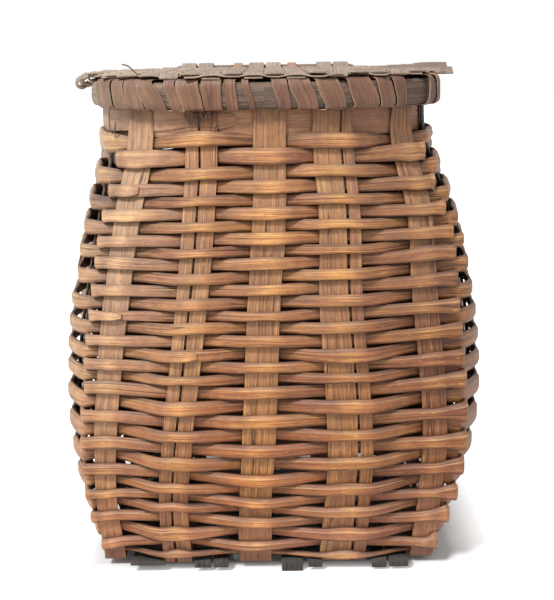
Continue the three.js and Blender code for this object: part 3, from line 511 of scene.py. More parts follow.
# Slivers that stand off the torn ends: place across the stake, sideways lean and height
TORN_SLIVERS = {"stake_left_narrow": ((-11.5, -1.5, 3), (-8.2, 1, 5.5), (-5, 2, 4)),
                "stake_left_wide": ((0.5, -1.5, 5), (4, 1, 3.5), (7.5, -1, 5.5), (11, 1.5, 4.5))}
for n, (name, front, back, first, last) in enumerate((
        ("stake_corner_left", 14, 10, -0.5, 0.5), ("stake_left_narrow", 15, 9, -0.53, -0.11),
        ("stake_left_wide", 15, 9, -0.04, 0.5), ("stake_middle", 0, 8, -0.5, 0.5),
        ("stake_right_wide", 1, 7, -0.56, 0.15), ("stake_right_narrow", 1, 7, 0.21, 0.5),
        ("stake_corner_right", 2, 6, -0.5, 0.5))):
    run = base_run(STAKES[front][1], False)
    made = [stake_splint(front, back, ALONG_X, run, first, last, 100 + n)]
    middle, _, side, out = (line[0] for line in stake_frame(front, [TORN_Z - 2]))
    for shift, lean, tall in TORN_SLIVERS.get(name, ()):
        root = middle + side * shift + out * 1.4
        tip = root + side * lean + out * 2.2 + UP * tall
        made.append(path_splint(np.stack([root - UP * 7, root, tip]), side, 3.2, 1.0, step=1.5, square=6,
                                tone=np.array([0, -0.5, -1.5]), shade=np.array([0, 0.3, 0.5])))
    make_piece(name + "_bent", made, stake_wood, "basket", "stake_splint", name)
for n, (name, right_end, left_end) in enumerate((
        ("stake_side_front", 3, 13), ("stake_side_middle", 4, 12), ("stake_side_back", 5, 11))):
    made = stake_splint(right_end, left_end, ALONG_Y, None, -0.5, 0.5, 110 + n)
    make_piece(name + "_bent", [made], side_stake_wood, "basket", "stake_splint", name)


# Base fillers. Thin dark splints close the base between the stakes: seven run front to back and come
# out under the wall, where their cut ends turn down to the ground; four run left to right, inside.
filler_wood = aged_splint(
    "base_filler_weathered", dark=(38, 36, 34), middle=(68, 64, 60), light=(102, 94, 84),
    patina=(62, 62, 62), patina_share=0.5, low=(235, 225, 220), edge=(96, 86, 76), edge_share=0.3,
    dust=(96, 92, 86), dust_share=0.4, rough=0.78, fibre=(0.0008, 0.05, 0.005), cracks=0.8, relief=0.0006)
# Place, width, and how far above the ground the front end stops
FILLERS = ((-108, 29, 6.6), (-60, 14.5, 4.0), (-44.5, 13, 4.0), (17.4, 18, 0.0), (37.3, 12, 3.4),
           (92.5, 13, 2.4), (109.5, 17, 3.0))
BEND_Y, BEND_Z = -146, 9.4      # where a front end starts to turn down
BACK_END = np.array([[141.9, 4.5], [150.9, 4.4], [153.0, 3.9], [153.8, 2.4], [153.9, 0]])


def at_place(x, profile):
    """The points of a profile in y and z, set at one place along x."""
    return np.column_stack([np.full(len(profile), x), profile])


for n, (x, width, tip_z) in enumerate(FILLERS):
    turn = np.linspace(1, 0, 7)
    turn_y, turn_z = BEND_Y - turn * 4 * (2 - turn) / 1.3, BEND_Z - turn ** 2 * (BEND_Z - tip_z)
    front_end = np.concatenate([np.stack([turn_y, turn_z], -1), [[-140, 8.6], [-128, 6.6]]])
    middle = np.concatenate([at_place(x, front_end), base_run(x, True), at_place(x, BACK_END)])
    place = lengths_along(middle)
    # A little painted shade under the base
    made = splint(middle, ALONG_X, np.cross(ALONG_X, unit(np.gradient(middle, axis=0))),
                  width * (1 + wander(place, 0.02, 200 + n)), 1.6, square=6,
                  tone=wander(place, 0.5, 210 + n, 250), shade=0.15)
    name = f"base_filler_lengthwise_{n + 1}"
    make_piece(name + "_flat", [made], filler_wood, "basket", "dark_splint", name)
for n, y in enumerate((-99, -33, 33, 99)):
    x = np.arange(-141.5, 142, 6.0)
    middle = np.stack([x, np.full(len(x), float(y)), np.full(len(x), BASE_Z)], -1)
    # More painted shade on these, inside the basket
    made = splint(middle, ALONG_Y, UP, FILLER_WIDTH * (1 + wander(x, 0.02, 220 + n)), 1.5, square=6,
                  tone=wander(x, 0.5, 230 + n, 250), shade=0.3)
    name = f"base_filler_crosswise_{n + 1}"
    make_piece(name + "_flat", [made], filler_wood, "basket", "dark_splint", name)


# Weavers. Two thick riven splints chase each other round the stakes in 33 rows, one over the even stakes
# and one over the odd ones. Each is made of six lengths, whose ends are shaved thin and lie on each other
# at a lap.
# Its dark edge colour paints shade along each row's edges, the lower one most; its highlight colour is a
# painted highlight along the arris.
weaver_wood = aged_splint(
    "weaver_splint_golden", dark=(90, 46, 20), middle=(196, 124, 60), light=(248, 186, 104),
    patina=(154, 102, 68), patina_share=0.45, low=(255, 236, 218), edge=(60, 36, 24), edge_share=0.85,
    dust=(118, 100, 90), dust_share=0.8, rough=0.4, fibre=(0.0007, 0.08, 0.007), cracks=0.6, relief=0.0012,
    gloss=0.55, arris_highlight_colour=(240, 196, 138), arris_highlight_share=0.7, foot_share=0.3)
WEAVER_THICK, SHAVED_THICK = 4.4, 2.2
OVER_BOW, OVER_BULGE, LAP_LIFT = 3.9, 0.9, 1.2      # how far off a stake's middle a pass lies
BESIDE_STAKE = 2.5                                  # how far past a stake's edge it starts to cross
ROW_HEIGHTS = np.array([[0, 15.8], [8, 104], [12, 156], [16, 200.5], [28, 326], [33, 383.5]])
# Heights and widths of the rows on the five front stakes, weaver a on the odd ones, weaver b on the even
A_HEIGHTS = np.array([
    [24.7, 51.6, 72.3, 95.6, 119.8, 143.3, 168.1, 187.4,
     207.6, 227.7, 248.7, 271.2, 288.5, 309.6, 328.9, 354.7],
    [25.1, 49.2, 67.7, 88.8, 116.3, 142.7, 167.7, 188.5,
     210.2, 230.2, 251.7, 273.0, 292.9, 312.9, 333.9, 358.6],
    [22.8, 49.1, 70.4, 94.2, 118.0, 142.9, 170.3, 189.4,
     211.8, 232.4, 254.0, 275.7, 292.2, 310.9, 331.6, 356.7]])
A_WIDTHS = np.array([
    [10.2, 8.9, 7.1, 10.8, 12.2, 9.9, 11.9, 9.8, 8.7, 7.2, 9.7, 10.9, 10.2, 11.4, 11.0, 16.6],
    [9.0, 9.7, 9.7, 12.0, 11.8, 11.7, 10.2, 8.6, 9.6, 6.9, 9.1, 10.7, 11.0, 11.7, 11.9, 14.2],
    [8.7, 9.8, 7.1, 9.9, 11.2, 9.0, 11.0, 11.5, 10.0, 9.7, 11.3, 13.5, 10.9, 10.9, 13.4, 16.9]])
B_HEIGHTS = np.array([
    [18.2, 38.4, 65.7, 83.3, 105.5, 129.8, 153.9, 177.7, 198.2,
     220.9, 240.3, 260.6, 281.7, 302.5, 323.1, 344.3, 373.0],
    [15.1, 35.9, 58.7, 80.5, 104.9, 130.2, 154.3, 179.1, 197.1,
     220.3, 242.5, 263.2, 283.5, 303.9, 323.7, 346.0, 370.5]])
B_WIDTHS = np.array([
    [8.1, 15.0, 8.3, 9.2, 12.7, 9.6, 13.1, 6.9, 9.9, 10.1, 10.2, 9.2, 7.5, 8.2, 8.0, 9.9, 12.4],
    [8.1, 14.0, 10.7, 11.1, 11.4, 9.1, 12.7, 7.8, 12.4, 10.1, 10.3, 9.2, 7.5, 8.2, 8.8, 10.0, 13.4]])


def row_height(row):
    """The height of the middle of a row on average: a curve through a few rows."""
    return curve(ROW_HEIGHTS[:, 0], ROW_HEIGHTS[:, 1], row)


def row_spacing(counts):
    """From one row to the next, at stakes counted along a weaver, which climbs two rows a turn."""
    return row_height(counts / 8 + 1) - row_height(counts / 8)


def even_climb(counts, first_row):
    """Height after a number of stakes passed: two rows a turn, slower across the front of the basket."""
    turns = counts / AROUND
    return row_height(first_row + 2 * (turns - 0.4 * np.sin(2 * np.pi * turns) / (2 * np.pi)))


def middles(values):
    """Half-way between each value, or list of values, and the next."""
    return (values[1:] + values[:-1]) / 2


def between_rows(rows):
    """Middles between rows that follow each other, with one more below and one above them."""
    return np.concatenate([rows[:1] - 10.5, middles(rows), rows[-1:] + 12.075])


def on_front(turns, heights, widths):
    """Stakes counted along a weaver, with heights and widths, on the five front stakes in every turn."""
    counts = np.add.outer((-2, -1, 0, 1, 2), np.arange(turns) * AROUND)
    return counts.ravel(), np.concatenate(heights), np.concatenate(widths)


def row_of(known, first_row, counts, seed):
    """Height and width at stakes counted along a weaver. The height is the even climb, corrected to the
    front's known rows and less and less towards the back, plus a little seeded unevenness at the sides and
    back. There a row fills its own space, or more in the loose loops over the two side stakes nearest the
    front. The lowest passes reach down to the base."""
    order = np.argsort(known[0])
    places, heights, widths = (part[order] for part in known)
    off = np.interp(counts, places, heights - even_climb(places, first_row))
    spacing = row_spacing(counts)
    uneven = np.random.default_rng(seed).normal(0, 1, 400)[counts + 40]
    seen = (counts + 2) % AROUND <= 4
    from_front = np.abs((counts + 8) % AROUND - 8)
    height = (even_climb(counts, first_row) + off * np.interp(from_front, [2, 5], [1, 0.15])
              + np.where(seen, 0, uneven * 0.5))
    fuller = np.array([1.2, 1.34, 1.5])[(counts % AROUND == 3) + 2 * (counts % AROUND == 13)]
    width = np.where(seen, np.interp(counts, places, widths), spacing * (fuller + 0.03 * np.roll(uneven, 3)))
    lowest = np.clip(1.9 - first_row - counts / 8, 0, 1) * ~seen
    return height - 2.5 * lowest, np.minimum(width, spacing * 1.6) + 5 * lowest


BEFORE = 24             # stakes counted before the front middle of a weaver's first turn
all_counts = np.arange(-BEFORE, 290)
known_a = on_front(
    16, [A_HEIGHTS[0], middles(B_HEIGHTS[0]), A_HEIGHTS[1], middles(B_HEIGHTS[1]), A_HEIGHTS[2]],
    [A_WIDTHS[0], middles(A_WIDTHS)[0], A_WIDTHS[1], middles(A_WIDTHS)[1], A_WIDTHS[2]])
known_b = on_front(
    17, [between_rows(A_HEIGHTS[0]), B_HEIGHTS[0], between_rows(A_HEIGHTS[1]), B_HEIGHTS[1],
         between_rows(A_HEIGHTS[2])],
    [B_WIDTHS[0], B_WIDTHS[0], middles(B_WIDTHS)[0], B_WIDTHS[1], B_WIDTHS[1]])
height_a, width_a = row_of(known_a, 1, all_counts, 5)
height_b, width_b = row_of(known_b, 0, all_counts, 6)
risen = np.exp(-((all_counts - 251.5) / 2.2) ** 2)       # at the back b rises to the band where a has ended
height_b, width_b = height_b + 4 * risen, width_b + 7 * risen


def gap_width(own, above, below):
    """Half-way between two stakes neighbouring rows change sides, so there a row fills its own space."""
    up, down = middles(above) - middles(own), middles(own) - middles(below)
    return np.minimum((up + down) / 2 * 1.04, np.minimum(up, down) * 1.4)


def shifted(values, by):
    """The values a number of places further on, with the last or first one repeated past the end."""
    return np.interp(np.arange(len(values)) + by, np.arange(len(values)), values)


def corner_fold(near, near_out, far, far_out, limit):
    """Two points of a fold between a corner stake (near) and a side stake (far), from points beside them and
    the directions in which the splint leaves them: near where the two lines meet, less near in the lower
    wall, whose corners are rounder; or, with a limit, as far from the corner stake as that, and 4 to 13 mm
    on."""
    cross = lambda one, two: one[0] * two[1] - one[1] * two[0]
    reach, back = (max(2, cross(far - near, out) / cross(near_out, far_out)) for out in (far_out, near_out))
    if limit:
        first = near + near_out * min(reach, limit)
        second = first + unit(far - first) * np.interp(near[2], [150, 260], [13, 4])
    else:
        share = np.interp(near[2], [40, 190, 260], [0.3, 0.4, 0.88])
        first, second = near + near_out * reach * share, far + far_out * back * share
    first[2], second[2] = near[2] * 0.65 + far[2] * 0.35, near[2] * 0.5 + far[2] * 0.5
    return first, second


gaps_a = gap_width(height_a, shifted(height_b, 16), height_b)
gaps_b = gap_width(height_b, height_a, shifted(height_a, -16)) + 5 * middles(risen)
# Weavers: name, first row, which stakes it passes over, first and last stake, where it is lapped, its rows
WEAVERS = (("weaver_a", 1, 0, -7, 249, [42, 91, 140, 191, 220], height_a, width_a, gaps_a),
           ("weaver_b", 0, 1, -2, 260, [41, 84, 126, 171, 216], height_b, width_b, gaps_b))
LAP_STAKES, CUT_SHARE, SHORT_LAP = 2, 0.6, 126
CORNERS = {2: (2, 12), 5: (6, 12), 10: (10, 12), 13: (14, 6)}    # stake before it, corner stake, limit
GAP_HEIGHTS, GAP_SHARES = [40, 150, 300, 355, 370], [0.78, 0.86, 0.96, 0.96, 1.15]
for w, (name, first_row, parity, start, end, laps, heights, widths, gaps) in enumerate(WEAVERS):
    marks = [start] + laps + [end]
    for n in range(len(laps) + 1):
        is_first, is_last = n == 0, n == len(laps)
        stop = marks[n + 1] + (0 if is_last else LAP_STAKES - (marks[n + 1] == SHORT_LAP))
        counts = np.arange(marks[n], stop + 1)
        stake = counts % AROUND
        seen = (counts + 2) % AROUND <= 4
        over = np.where(counts % 2 == parity, 1.0, -1.0)
        outside = over > 0
        height, width = heights[counts + BEFORE], widths[counts + BEFORE]
        middle, up, side, out = frames = [np.zeros((len(counts), 3)) for _ in range(4)]
        reach = np.zeros(len(counts))
        for index in range(AROUND):
            here = stake == index
            for whole, part in zip(frames, stake_frame(index, height[here])):
                whole[here] = part
            reach[here] = stake_width(index, height[here]) / 2 + BESIDE_STAKE
        layer = np.zeros(len(counts))       # at a lap, a length's start lies under and its end on top
        layer[(counts <= marks[n] + LAP_STAKES) & (not is_first)] = -1
        layer[(counts >= marks[n + 1]) & (not is_last)] = 1

        # Three points at each stake: one beside it, one on its middle, one beside it on the other side
        share = np.repeat([[-1.0, 0.0, 1.0]], len(counts), 0)
        pulled = np.interp(height, [20, 110], [0.45, 1])       # low down, a corner stake reaches the corner
        share[:, 0] *= np.where(np.isin(stake, (6, 14)), pulled, 1)
        share[:, 2] *= np.where(np.isin(stake, (2, 10)), pulled, 1)
        share[0, 0], share[-1, 2] = -CUT_SHARE, CUT_SHARE
        flat_out = out * np.array([1, 1, 0.5])
        flat_out /= (flat_out * out).sum(1, keepdims=True)
        bow = OVER_BOW + OVER_BULGE * (1 - np.abs(share)) * np.where(outside, 1, 0.5)[:, None]
        slack = curve(*SLACK, height) * ((stake == SLACK_STAKE) & outside)
        off_stake = over[:, None] * bow + layer[:, None] * LAP_LIFT + slack[:, None]
        points = (middle[:, None] + side[:, None] * (share * reach[:, None])[..., None]
                  + flat_out[:, None] * off_stake[..., None])
        points[..., 2] += curve(all_counts, heights, counts[:, None] + 0.33 * share) - height[:, None]

        # Width, thickness, painted shade where it is tucked away, tone with painted light and shade on each
        # pass, and bevels at those points
        spacing = row_spacing(counts)
        inside_width = np.where(seen, spacing * 0.9, np.maximum(spacing * 1.2, width))
        width = np.where(outside, width, inside_width)
        between = gaps[counts[:-1] + BEFORE] * np.where(
            seen[1:], np.interp(height[1:], GAP_HEIGHTS, GAP_SHARES), 1.24)
        wide = np.stack([
            np.concatenate([width[:1] * 0.6, (between + width[1:]) / 2]), width,
            np.concatenate([(between + width[:-1]) / 2, width[-1:] * 0.6])], 1)
        thick = np.where(layer[:, None] != 0, SHAVED_THICK, WEAVER_THICK) * np.ones((1, 3))
        tucked_shade = np.where(outside[:, None], [[0.25, 0.0, 0.25]], [[0.6, 1.0, 0.6]])
        # Painted highlight on the middle of each pass over a stake, painted shade at its ends and behind a
        # stake
        crest_light_and_shade = np.where(outside[:, None], [[-0.5, 0.9, -0.5]], [[-0.5, -1.2, -0.5]])
        top = np.clip((first_row + counts / 8 - 10) / 8, 0, 1)
        high = 1.25 * (1 - top) + top * (0.35, 0.8)[parity]
        low = 0.3 * (1 - top) + top * (0.2, 0.55)[parity]

        # Two more points, with values of their own, among them a little painted shade, where the splint folds
        # round a corner of the basket
        fold_at, folds, fold_values = [], [], []
        for k in np.flatnonzero(np.isin(stake[:-1], list(CORNERS))):
            corner, limit = CORNERS[stake[k]]
            here, there = (points[k, 2], side[k]), (points[k + 1, 0], -side[k + 1])
            swapped = corner != stake[k]
            lies_over = outside[k + swapped]
            near, far = (there, here) if swapped else (here, there)
            fold = corner_fold(*near, *far, limit * lies_over)
            fold_at += [3 * k + 3] * 2
            folds += fold[::-1] if swapped else fold
            full = between[k] * 1.08 if lies_over else (between[k] + width[k + (not swapped)]) / 2
            full *= 1.3 if corner in (6, 10) else 1
            fold_values += [(full, thick[k, 2], 0.15 if lies_over else 0.3, high[k], low[k], 0.3)] * 2
        listed = np.stack([wide, thick, tucked_shade, np.repeat(high[:, None], 3, 1),
                           np.repeat(low[:, None], 3, 1), crest_light_and_shade], -1)
        points = np.insert(points.reshape(-1, 3), fold_at, folds, axis=0)
        wide, thick, tucked_shade, high, low, crest_light_and_shade = np.insert(
            listed.reshape(-1, 6), fold_at, fold_values, axis=0).T
        ups = np.insert(np.repeat(up, 3, 0), fold_at, np.repeat([UP], len(fold_at), 0), axis=0)
        place = lengths_along(points)
        points[:, 2] += wander(place, 0.3, 300 + 10 * w + n, 120)
        # Tone: a seeded wander, plus the painted highlight and shade of each pass
        tone = wander(place, 0.7, 330 + 10 * w + n, 420) + crest_light_and_shade
        made = path_splint(points, ups, wide, thick, step=2.8, square=6.0, high=high, low=low, tone=tone,
                           shade=tucked_shade)
        make_piece(f"{name}_{n + 1}_bowed", [made], weaver_wood, "basket", "weaver_splint", f"{name}_{n + 1}")


# Rim hoops and band. A thin band lies inside the stakes above the top row. Over it two stout hoops,
# weathered grey-brown, grip the stake tops from inside and outside.
hoop_wood = aged_splint(
    "hoop_weathered", dark=(46, 40, 38), middle=(104, 80, 66), light=(158, 120, 92), patina=(80, 78, 78),
    patina_share=0.35, low=(255, 240, 230), edge=(70, 62, 56), edge_share=0.5, dust=(128, 116, 106),
    dust_share=0.5, rough=0.7, fibre=(0.0014, 0.2, 0.009), cracks=0.85, relief=0.0012)
band_wood = aged_splint(
    "band_splint_smooth", dark=(112, 74, 54), middle=(158, 110, 82), light=(190, 140, 106),
    patina=(144, 106, 84), patina_share=0.4, low=(250, 214, 180), edge=(140, 100, 70), edge_share=0.2,
    dust=(150, 128, 110), dust_share=0.4, rough=0.6, fibre=(0.0007, 0.09, 0.01), cracks=0.4, relief=0.0004)
RIM_SQUARE = 2.6


def rim_points(half, bearing, z):
    """Points at bearings on the rim's rounded square of a half-width, at a height."""
    flat = ring(half, RIM_SQUARE, bearing)
    return np.stack([flat[:, 0] + RIM_LEAN, flat[:, 1], z], -1)


def closed_along(middle):
    """The direction of a closed line at each of its points."""
    return unit(np.roll(middle, -1, 0) - np.roll(middle, 1, 0))


def hoop(half, z, width, thick, seed, size=0.0, **more):
    """A closed splint on edge round the rim's rounded square; its middle wanders up and down a little."""
    bearing = np.arange(0, 360, 2.0)
    wave = lambda times, shift: np.sin(np.radians(bearing * times + shift))
    middle = rim_points(half, bearing, z + size * (wave(3, seed) + 0.5 * wave(7, seed * 3)))
    along = closed_along(middle)
    up = squared_to(UP, along)
    tone = 0.4 * wave(2, seed) + 0.3 * wave(5, 2 * seed)
    return splint(middle, up, np.cross(along, up), width, thick, closed=True, tone=tone, **more)


make_piece("rim_inner_hoop_worn", [hoop(137.5, 407.7, 21.4, 7, 31, square=3)], hoop_wood, "basket",
           "dark_splint", "rim_inner_hoop")
make_piece("rim_outer_hoop_worn", [hoop(150.2, 408.2, 21.4, 9.8, 12, square=3.4)], hoop_wood, "basket",
           "dark_splint", "rim_outer_hoop")
band_layers = [hoop(139.8, 385.2, 22.4, 1.4, 50, size=0.4, square=8)]
# Three torn layers of the band at the front left, the first of them over the side stake: bearing,
# half-width, height and width, each at the start and at the end
for bearings, halves, levels, widths in (
        ((283, 313), (146.2, 142.2), (386, 388), (21, 19)),
        ((317, 334), (141.3, 140.9), (387.5, 389.5), (19, 14)),
        ((340.5, 350.6), (141.3, 140.9), (387, 389), (15, 7))):
    share = np.linspace(0, 1, 12)
    grown = lambda ends, power: ends[0] + (ends[1] - ends[0]) * share ** power
    points = rim_points(grown(halves, 2), np.linspace(*bearings, 12), grown(levels, 2))
    band_layers.append(path_splint(points, UP, grown(widths, 3), 0.9, step=2.5,
                                   tone=wander(share, 0.3, 56) + 0.3))
make_piece("rim_band_thin", band_layers, band_wood, "basket", "stake_splint", "rim_band")


# Rim lashing. A wide, thin splint is wound round both hoops from the hinge loops to the front and on,
# in uneven turns that lean to the left on their way up; its cut edges are pale.
lashing_wood = aged_splint(
    "lashing_splint_brown", dark=(108, 70, 50), middle=(164, 114, 84), light=(202, 152, 116),
    patina=(148, 114, 94), patina_share=0.4, low=(255, 236, 220), edge=(212, 176, 136), edge_share=0.55,
    dust=(178, 152, 134), dust_share=0.5, rough=0.44, fibre=(0.0007, 0.06, 0.006), cracks=0.25,
    relief=0.0008, gloss=0.5)
UNDER_Z, OVER_Z, OUT_HALF, IN_HALF = 396.7, 420.9, 156.1, 132.6
# Front turns: bearing in its gap under the hoop, bearing and width low on the hoop, the same at the top, lift
FRONT_TURNS = np.array([
    [-57, -56.6, 11, -58.0, 11, 0], [-52.5, -51.7, 14.8, -53.0, 14.8, 0],
    [-48.6, -45.6, 15.4, -46.6, 15.0, 0], [-41.2, -39.7, 20, -41.1, 14.2, 0],
    [-37.5, -32.4, 19, -35.9, 15, 0], [-33.8, -25.9, 9.6, -28.0, 9.8, 0], [-28.8, -21.2, 17.6, -22.7, 19, 0],
    [-14.5, -15.1, 14.3, -15.6, 16.4, 0], [-10.5, -9.4, 8.9, -10.2, 9.3, 0], [-5.5, -3.6, 4.6, -5.6, 5.6, 0],
    [8, 6.1, 9.7, 4.6, 12.1, 0], [11.5, 13.0, 16.3, 10.5, 17.2, 0], [15.2, 21.0, 17.6, 18.6, 18.2, 0],
    [30.5, 30.3, 23, 28.0, 20.2, 0], [35.5, 37.4, 14.4, 35.9, 13.6, 0], [39.5, 42.5, 10.8, 41.5, 13.6, 0],
    [57.5, 56.5, 9, 57, 8.5, 2.4], [62, 63.5, 10, 63, 9, 3.2]])
BARE_FROM, BARE_TO = 277, 300       # the hoop is bare between these bearings


def mouth_edges(index):
    """Bearings of a stake's two edges at the rim, counted on past 360 after a full turn."""
    stake = STAKES[index % AROUND]
    half, middle = np.degrees(stake[5] / 2 / 155), stake[3] + 360 * (index // AROUND)
    return middle - half, middle + half


def side_turns(first, last, seed):
    """Three turns in each space between stakes, of seeded widths, leaning back on their way up."""
    rng = np.random.default_rng(seed)
    rows = []
    for index in range(first, last):
        start, low = mouth_edges(index)
        high, end = mouth_edges(index + 1)
        pitch, centre = (high + end - low - start) / 6, (low + high) / 2
        for k in (-1, 0, 1):
            wide = pitch * 2.72 * rng.uniform(0.72, 0.94)
            rows.append([centre + k * (high - low) / 3.4, centre + k * pitch + rng.uniform(-0.4, 0.4), wide,
                         centre + k * pitch - 1.7 + rng.uniform(-0.4, 0.4), wide * rng.uniform(0.85, 1), 0])
    return np.array(rows)


# The route of one turn: half-width, height, shares of gap, low and top bearing and of the next gap, and
# the share of the low and top widths
ROUTE = np.array([
    [146, UNDER_Z, 0.6, 0.4, 0, 0, 0.5, 0], [150, UNDER_Z - 0.2, 0.1, 0.9, 0, 0, 0.95, 0],
    [OUT_HALF - 2, UNDER_Z + 0.4, 0, 1, 0, 0, 1, 0], [OUT_HALF - 0.1, UNDER_Z + 3, 0, 1, 0, 0, 1, 0],
    [OUT_HALF + 0.5, UNDER_Z + 8, 0, 0.8, 0.2, 0, 0.8, 0.2],
    [OUT_HALF + 0.6, OVER_Z - 9, 0, 0.28, 0.72, 0, 0.3, 0.7],
    [OUT_HALF + 0.1, OVER_Z - 3.5, 0, 0, 1, 0, 0, 1],
    [OUT_HALF - 2.4, OVER_Z - 0.1, 0, -0.1, 1.1, 0, 0, 1], [146, OVER_Z + 0.3, 0, -0.15, 1.15, 0, 0, 0.85],
    [IN_HALF + 3.5, OVER_Z, 0, 0, 0.9, 0.1, 0, 0], [IN_HALF, OVER_Z - 4, 0, 0, 0.78, 0.22, 0, 0],
    [IN_HALF, UNDER_Z + 3.5, 0, 0, 0.06, 0.94, 0, 0], [IN_HALF + 2.5, UNDER_Z, 0, 0, 0, 1, 0, 0]])
INSIDE_WIDTH, FRONT_CROWN = 8, 1.1


def wound(turns, seed):
    """A splint that follows the route once for each turn and goes on to the next turn's gap. A lift moves
    the turn out, by a share that grows from 0 to 1 over 16 mm of half-width, and a little up on the rim."""
    gap, low, low_width, top, top_width, lift = turns.T
    next_gap = np.append(gap[1:], gap[-1] + 4)
    bearing = (np.stack([gap, low, top, next_gap], -1) @ ROUTE[:, 2:6].T).ravel()
    shares = ROUTE[:, 6:]
    width = (np.stack([low_width, top_width], -1) @ shares.T + INSIDE_WIDTH * (1 - shares.sum(1))).ravel()
    route_half, route_z = np.tile(ROUTE[:, 0], len(turns)), np.tile(ROUTE[:, 1], len(turns))
    lift = np.repeat(lift, len(ROUTE))
    half = route_half + lift * np.clip((route_half - 140) / 16, 0, 1)
    points = rim_points(half, bearing, route_z + lift * np.where(route_z > 417, 0.3, 0))
    ahead, behind = ring(half, RIM_SQUARE, bearing + 1), ring(half, RIM_SQUARE, bearing - 1)
    around = unit(np.concatenate([ahead - behind, np.zeros((len(half), 1))], -1))
    # Painted shade on the inner part of each turn, inside the hoops
    return path_splint(points, around, width, 1.0, step=2.6, square=6,
                       crown=FRONT_CROWN * np.where(route_half > 155, 1, 0),
                       tone=wander(lengths_along(points), 0.6, seed, 160),
                       shade=np.where(route_half < 150, 0.5, 0.0))


right_turns = np.concatenate([FRONT_TURNS[FRONT_TURNS[:, 0] > 6.9], side_turns(3, 7, 61)])
left_turns = np.concatenate([
    side_turns(9, 13, 62), FRONT_TURNS[FRONT_TURNS[:, 0] < 0] + np.array([360, 360, 0, 360, 0, 0])])
left_turns = left_turns[(left_turns[:, 1] < BARE_FROM) | (left_turns[:, 1] > BARE_TO)]
make_piece("rim_lashing_right_wound", [wound(right_turns, 401)], lashing_wood, "basket", "lashing_splint",
           "rim_lashing_right")
# A dark fibre hangs from the left lashing; its full shade value gives it its own dark colour.
fibre = np.array([[-131.4, -105, 402], [-132.6, -106, 397], [-133, -106.5, 390], [-132.8, -107, 383],
                  [-131.3, -107, 376.6], [-129.3, -107, 376.4], [-127.8, -107, 385.5]])
fibre = path_splint(fibre, ALONG_Y, 1.3, 1.1, step=1.5, tone=np.full(7, -2.0), shade=np.ones(7))
make_piece("rim_lashing_left_wound", [wound(left_turns, 402), fibre], lashing_wood, "basket",
           "lashing_splint", "rim_lashing_left")


# Hinge loops. Two narrow splints are each closed into a loop round the outer hoop and the lid's stick.
STICK_Y, STICK_Z, STICK_RADIUS = 161.5, 424.5, 3.5


def round_stick(radius, degrees):
    """Points at angles on a circle round the stick, as y and z."""
    angle = np.radians(degrees)
    return np.stack([STICK_Y + radius * np.cos(angle), STICK_Z + radius * np.sin(angle)], -1)


LOOP_OUTLINE = np.concatenate([
    [[142.2, 395.1], [154.2, 395.1], [156.3, 397.2], [156.6, 408]],
    round_stick(4.6, [-20, 10, 40, 70, 100, 118]),
    [[145.2, 421.8], [142.2, 419], [142.0, 408], [142.2, 395.1]]])
for name, x in (("hinge_loop_left", RIM_LEAN - 27.5), ("hinge_loop_right", RIM_LEAN + 27.5)):
    place, at = evenly(LOOP_OUTLINE, 2.0)
    middle = at_place(x, curve(place, LOOP_OUTLINE, at[:-1]))
    made = splint(middle, ALONG_X, np.cross(closed_along(middle), ALONG_X), 9, 1.2, square=6, closed=True,
                  tone=wander(at[:-1], 0.3, 421), shade=0.1)
    make_piece(name + "_bound", [made], lashing_wood, "basket", "lashing_splint", name)


# Lid. Narrow, thin splints are plaited over and under each other on the rim. The laths run left to
# right, a few of them past the rim; three pairs of splints are hooked round the stick at the back.
lid_wood = aged_splint(
    "lid_splint_grey", dark=(68, 56, 48), middle=(148, 122, 104), light=(202, 174, 152),
    patina=(136, 120, 110), patina_share=0.5, low=(255, 250, 245), edge=(196, 170, 142), edge_share=0.4,
    dust=(190, 174, 160), dust_share=0.4, rough=0.7, fibre=(0.0008, 0.05, 0.005), cracks=0.6, relief=0.0006)
MAT_Z, LID_HALF = 423.9, 156
LATH_Y = np.add.outer(-138.4 + 33.7 * np.arange(9), (-8.2, 8.2))
LID_X = np.add.outer(34.6 * np.arange(-4, 5) + RIM_LEAN, (-8.6, 8.6))


def lid_reach(place):
    """How far the lid's outline, a rounded square like the rim's, reaches at a place on the other axis."""
    share = np.minimum(0.995, np.abs(place) / LID_HALF)
    return LID_HALF * (1 - share ** RIM_SQUARE) ** (1 / RIM_SQUARE)


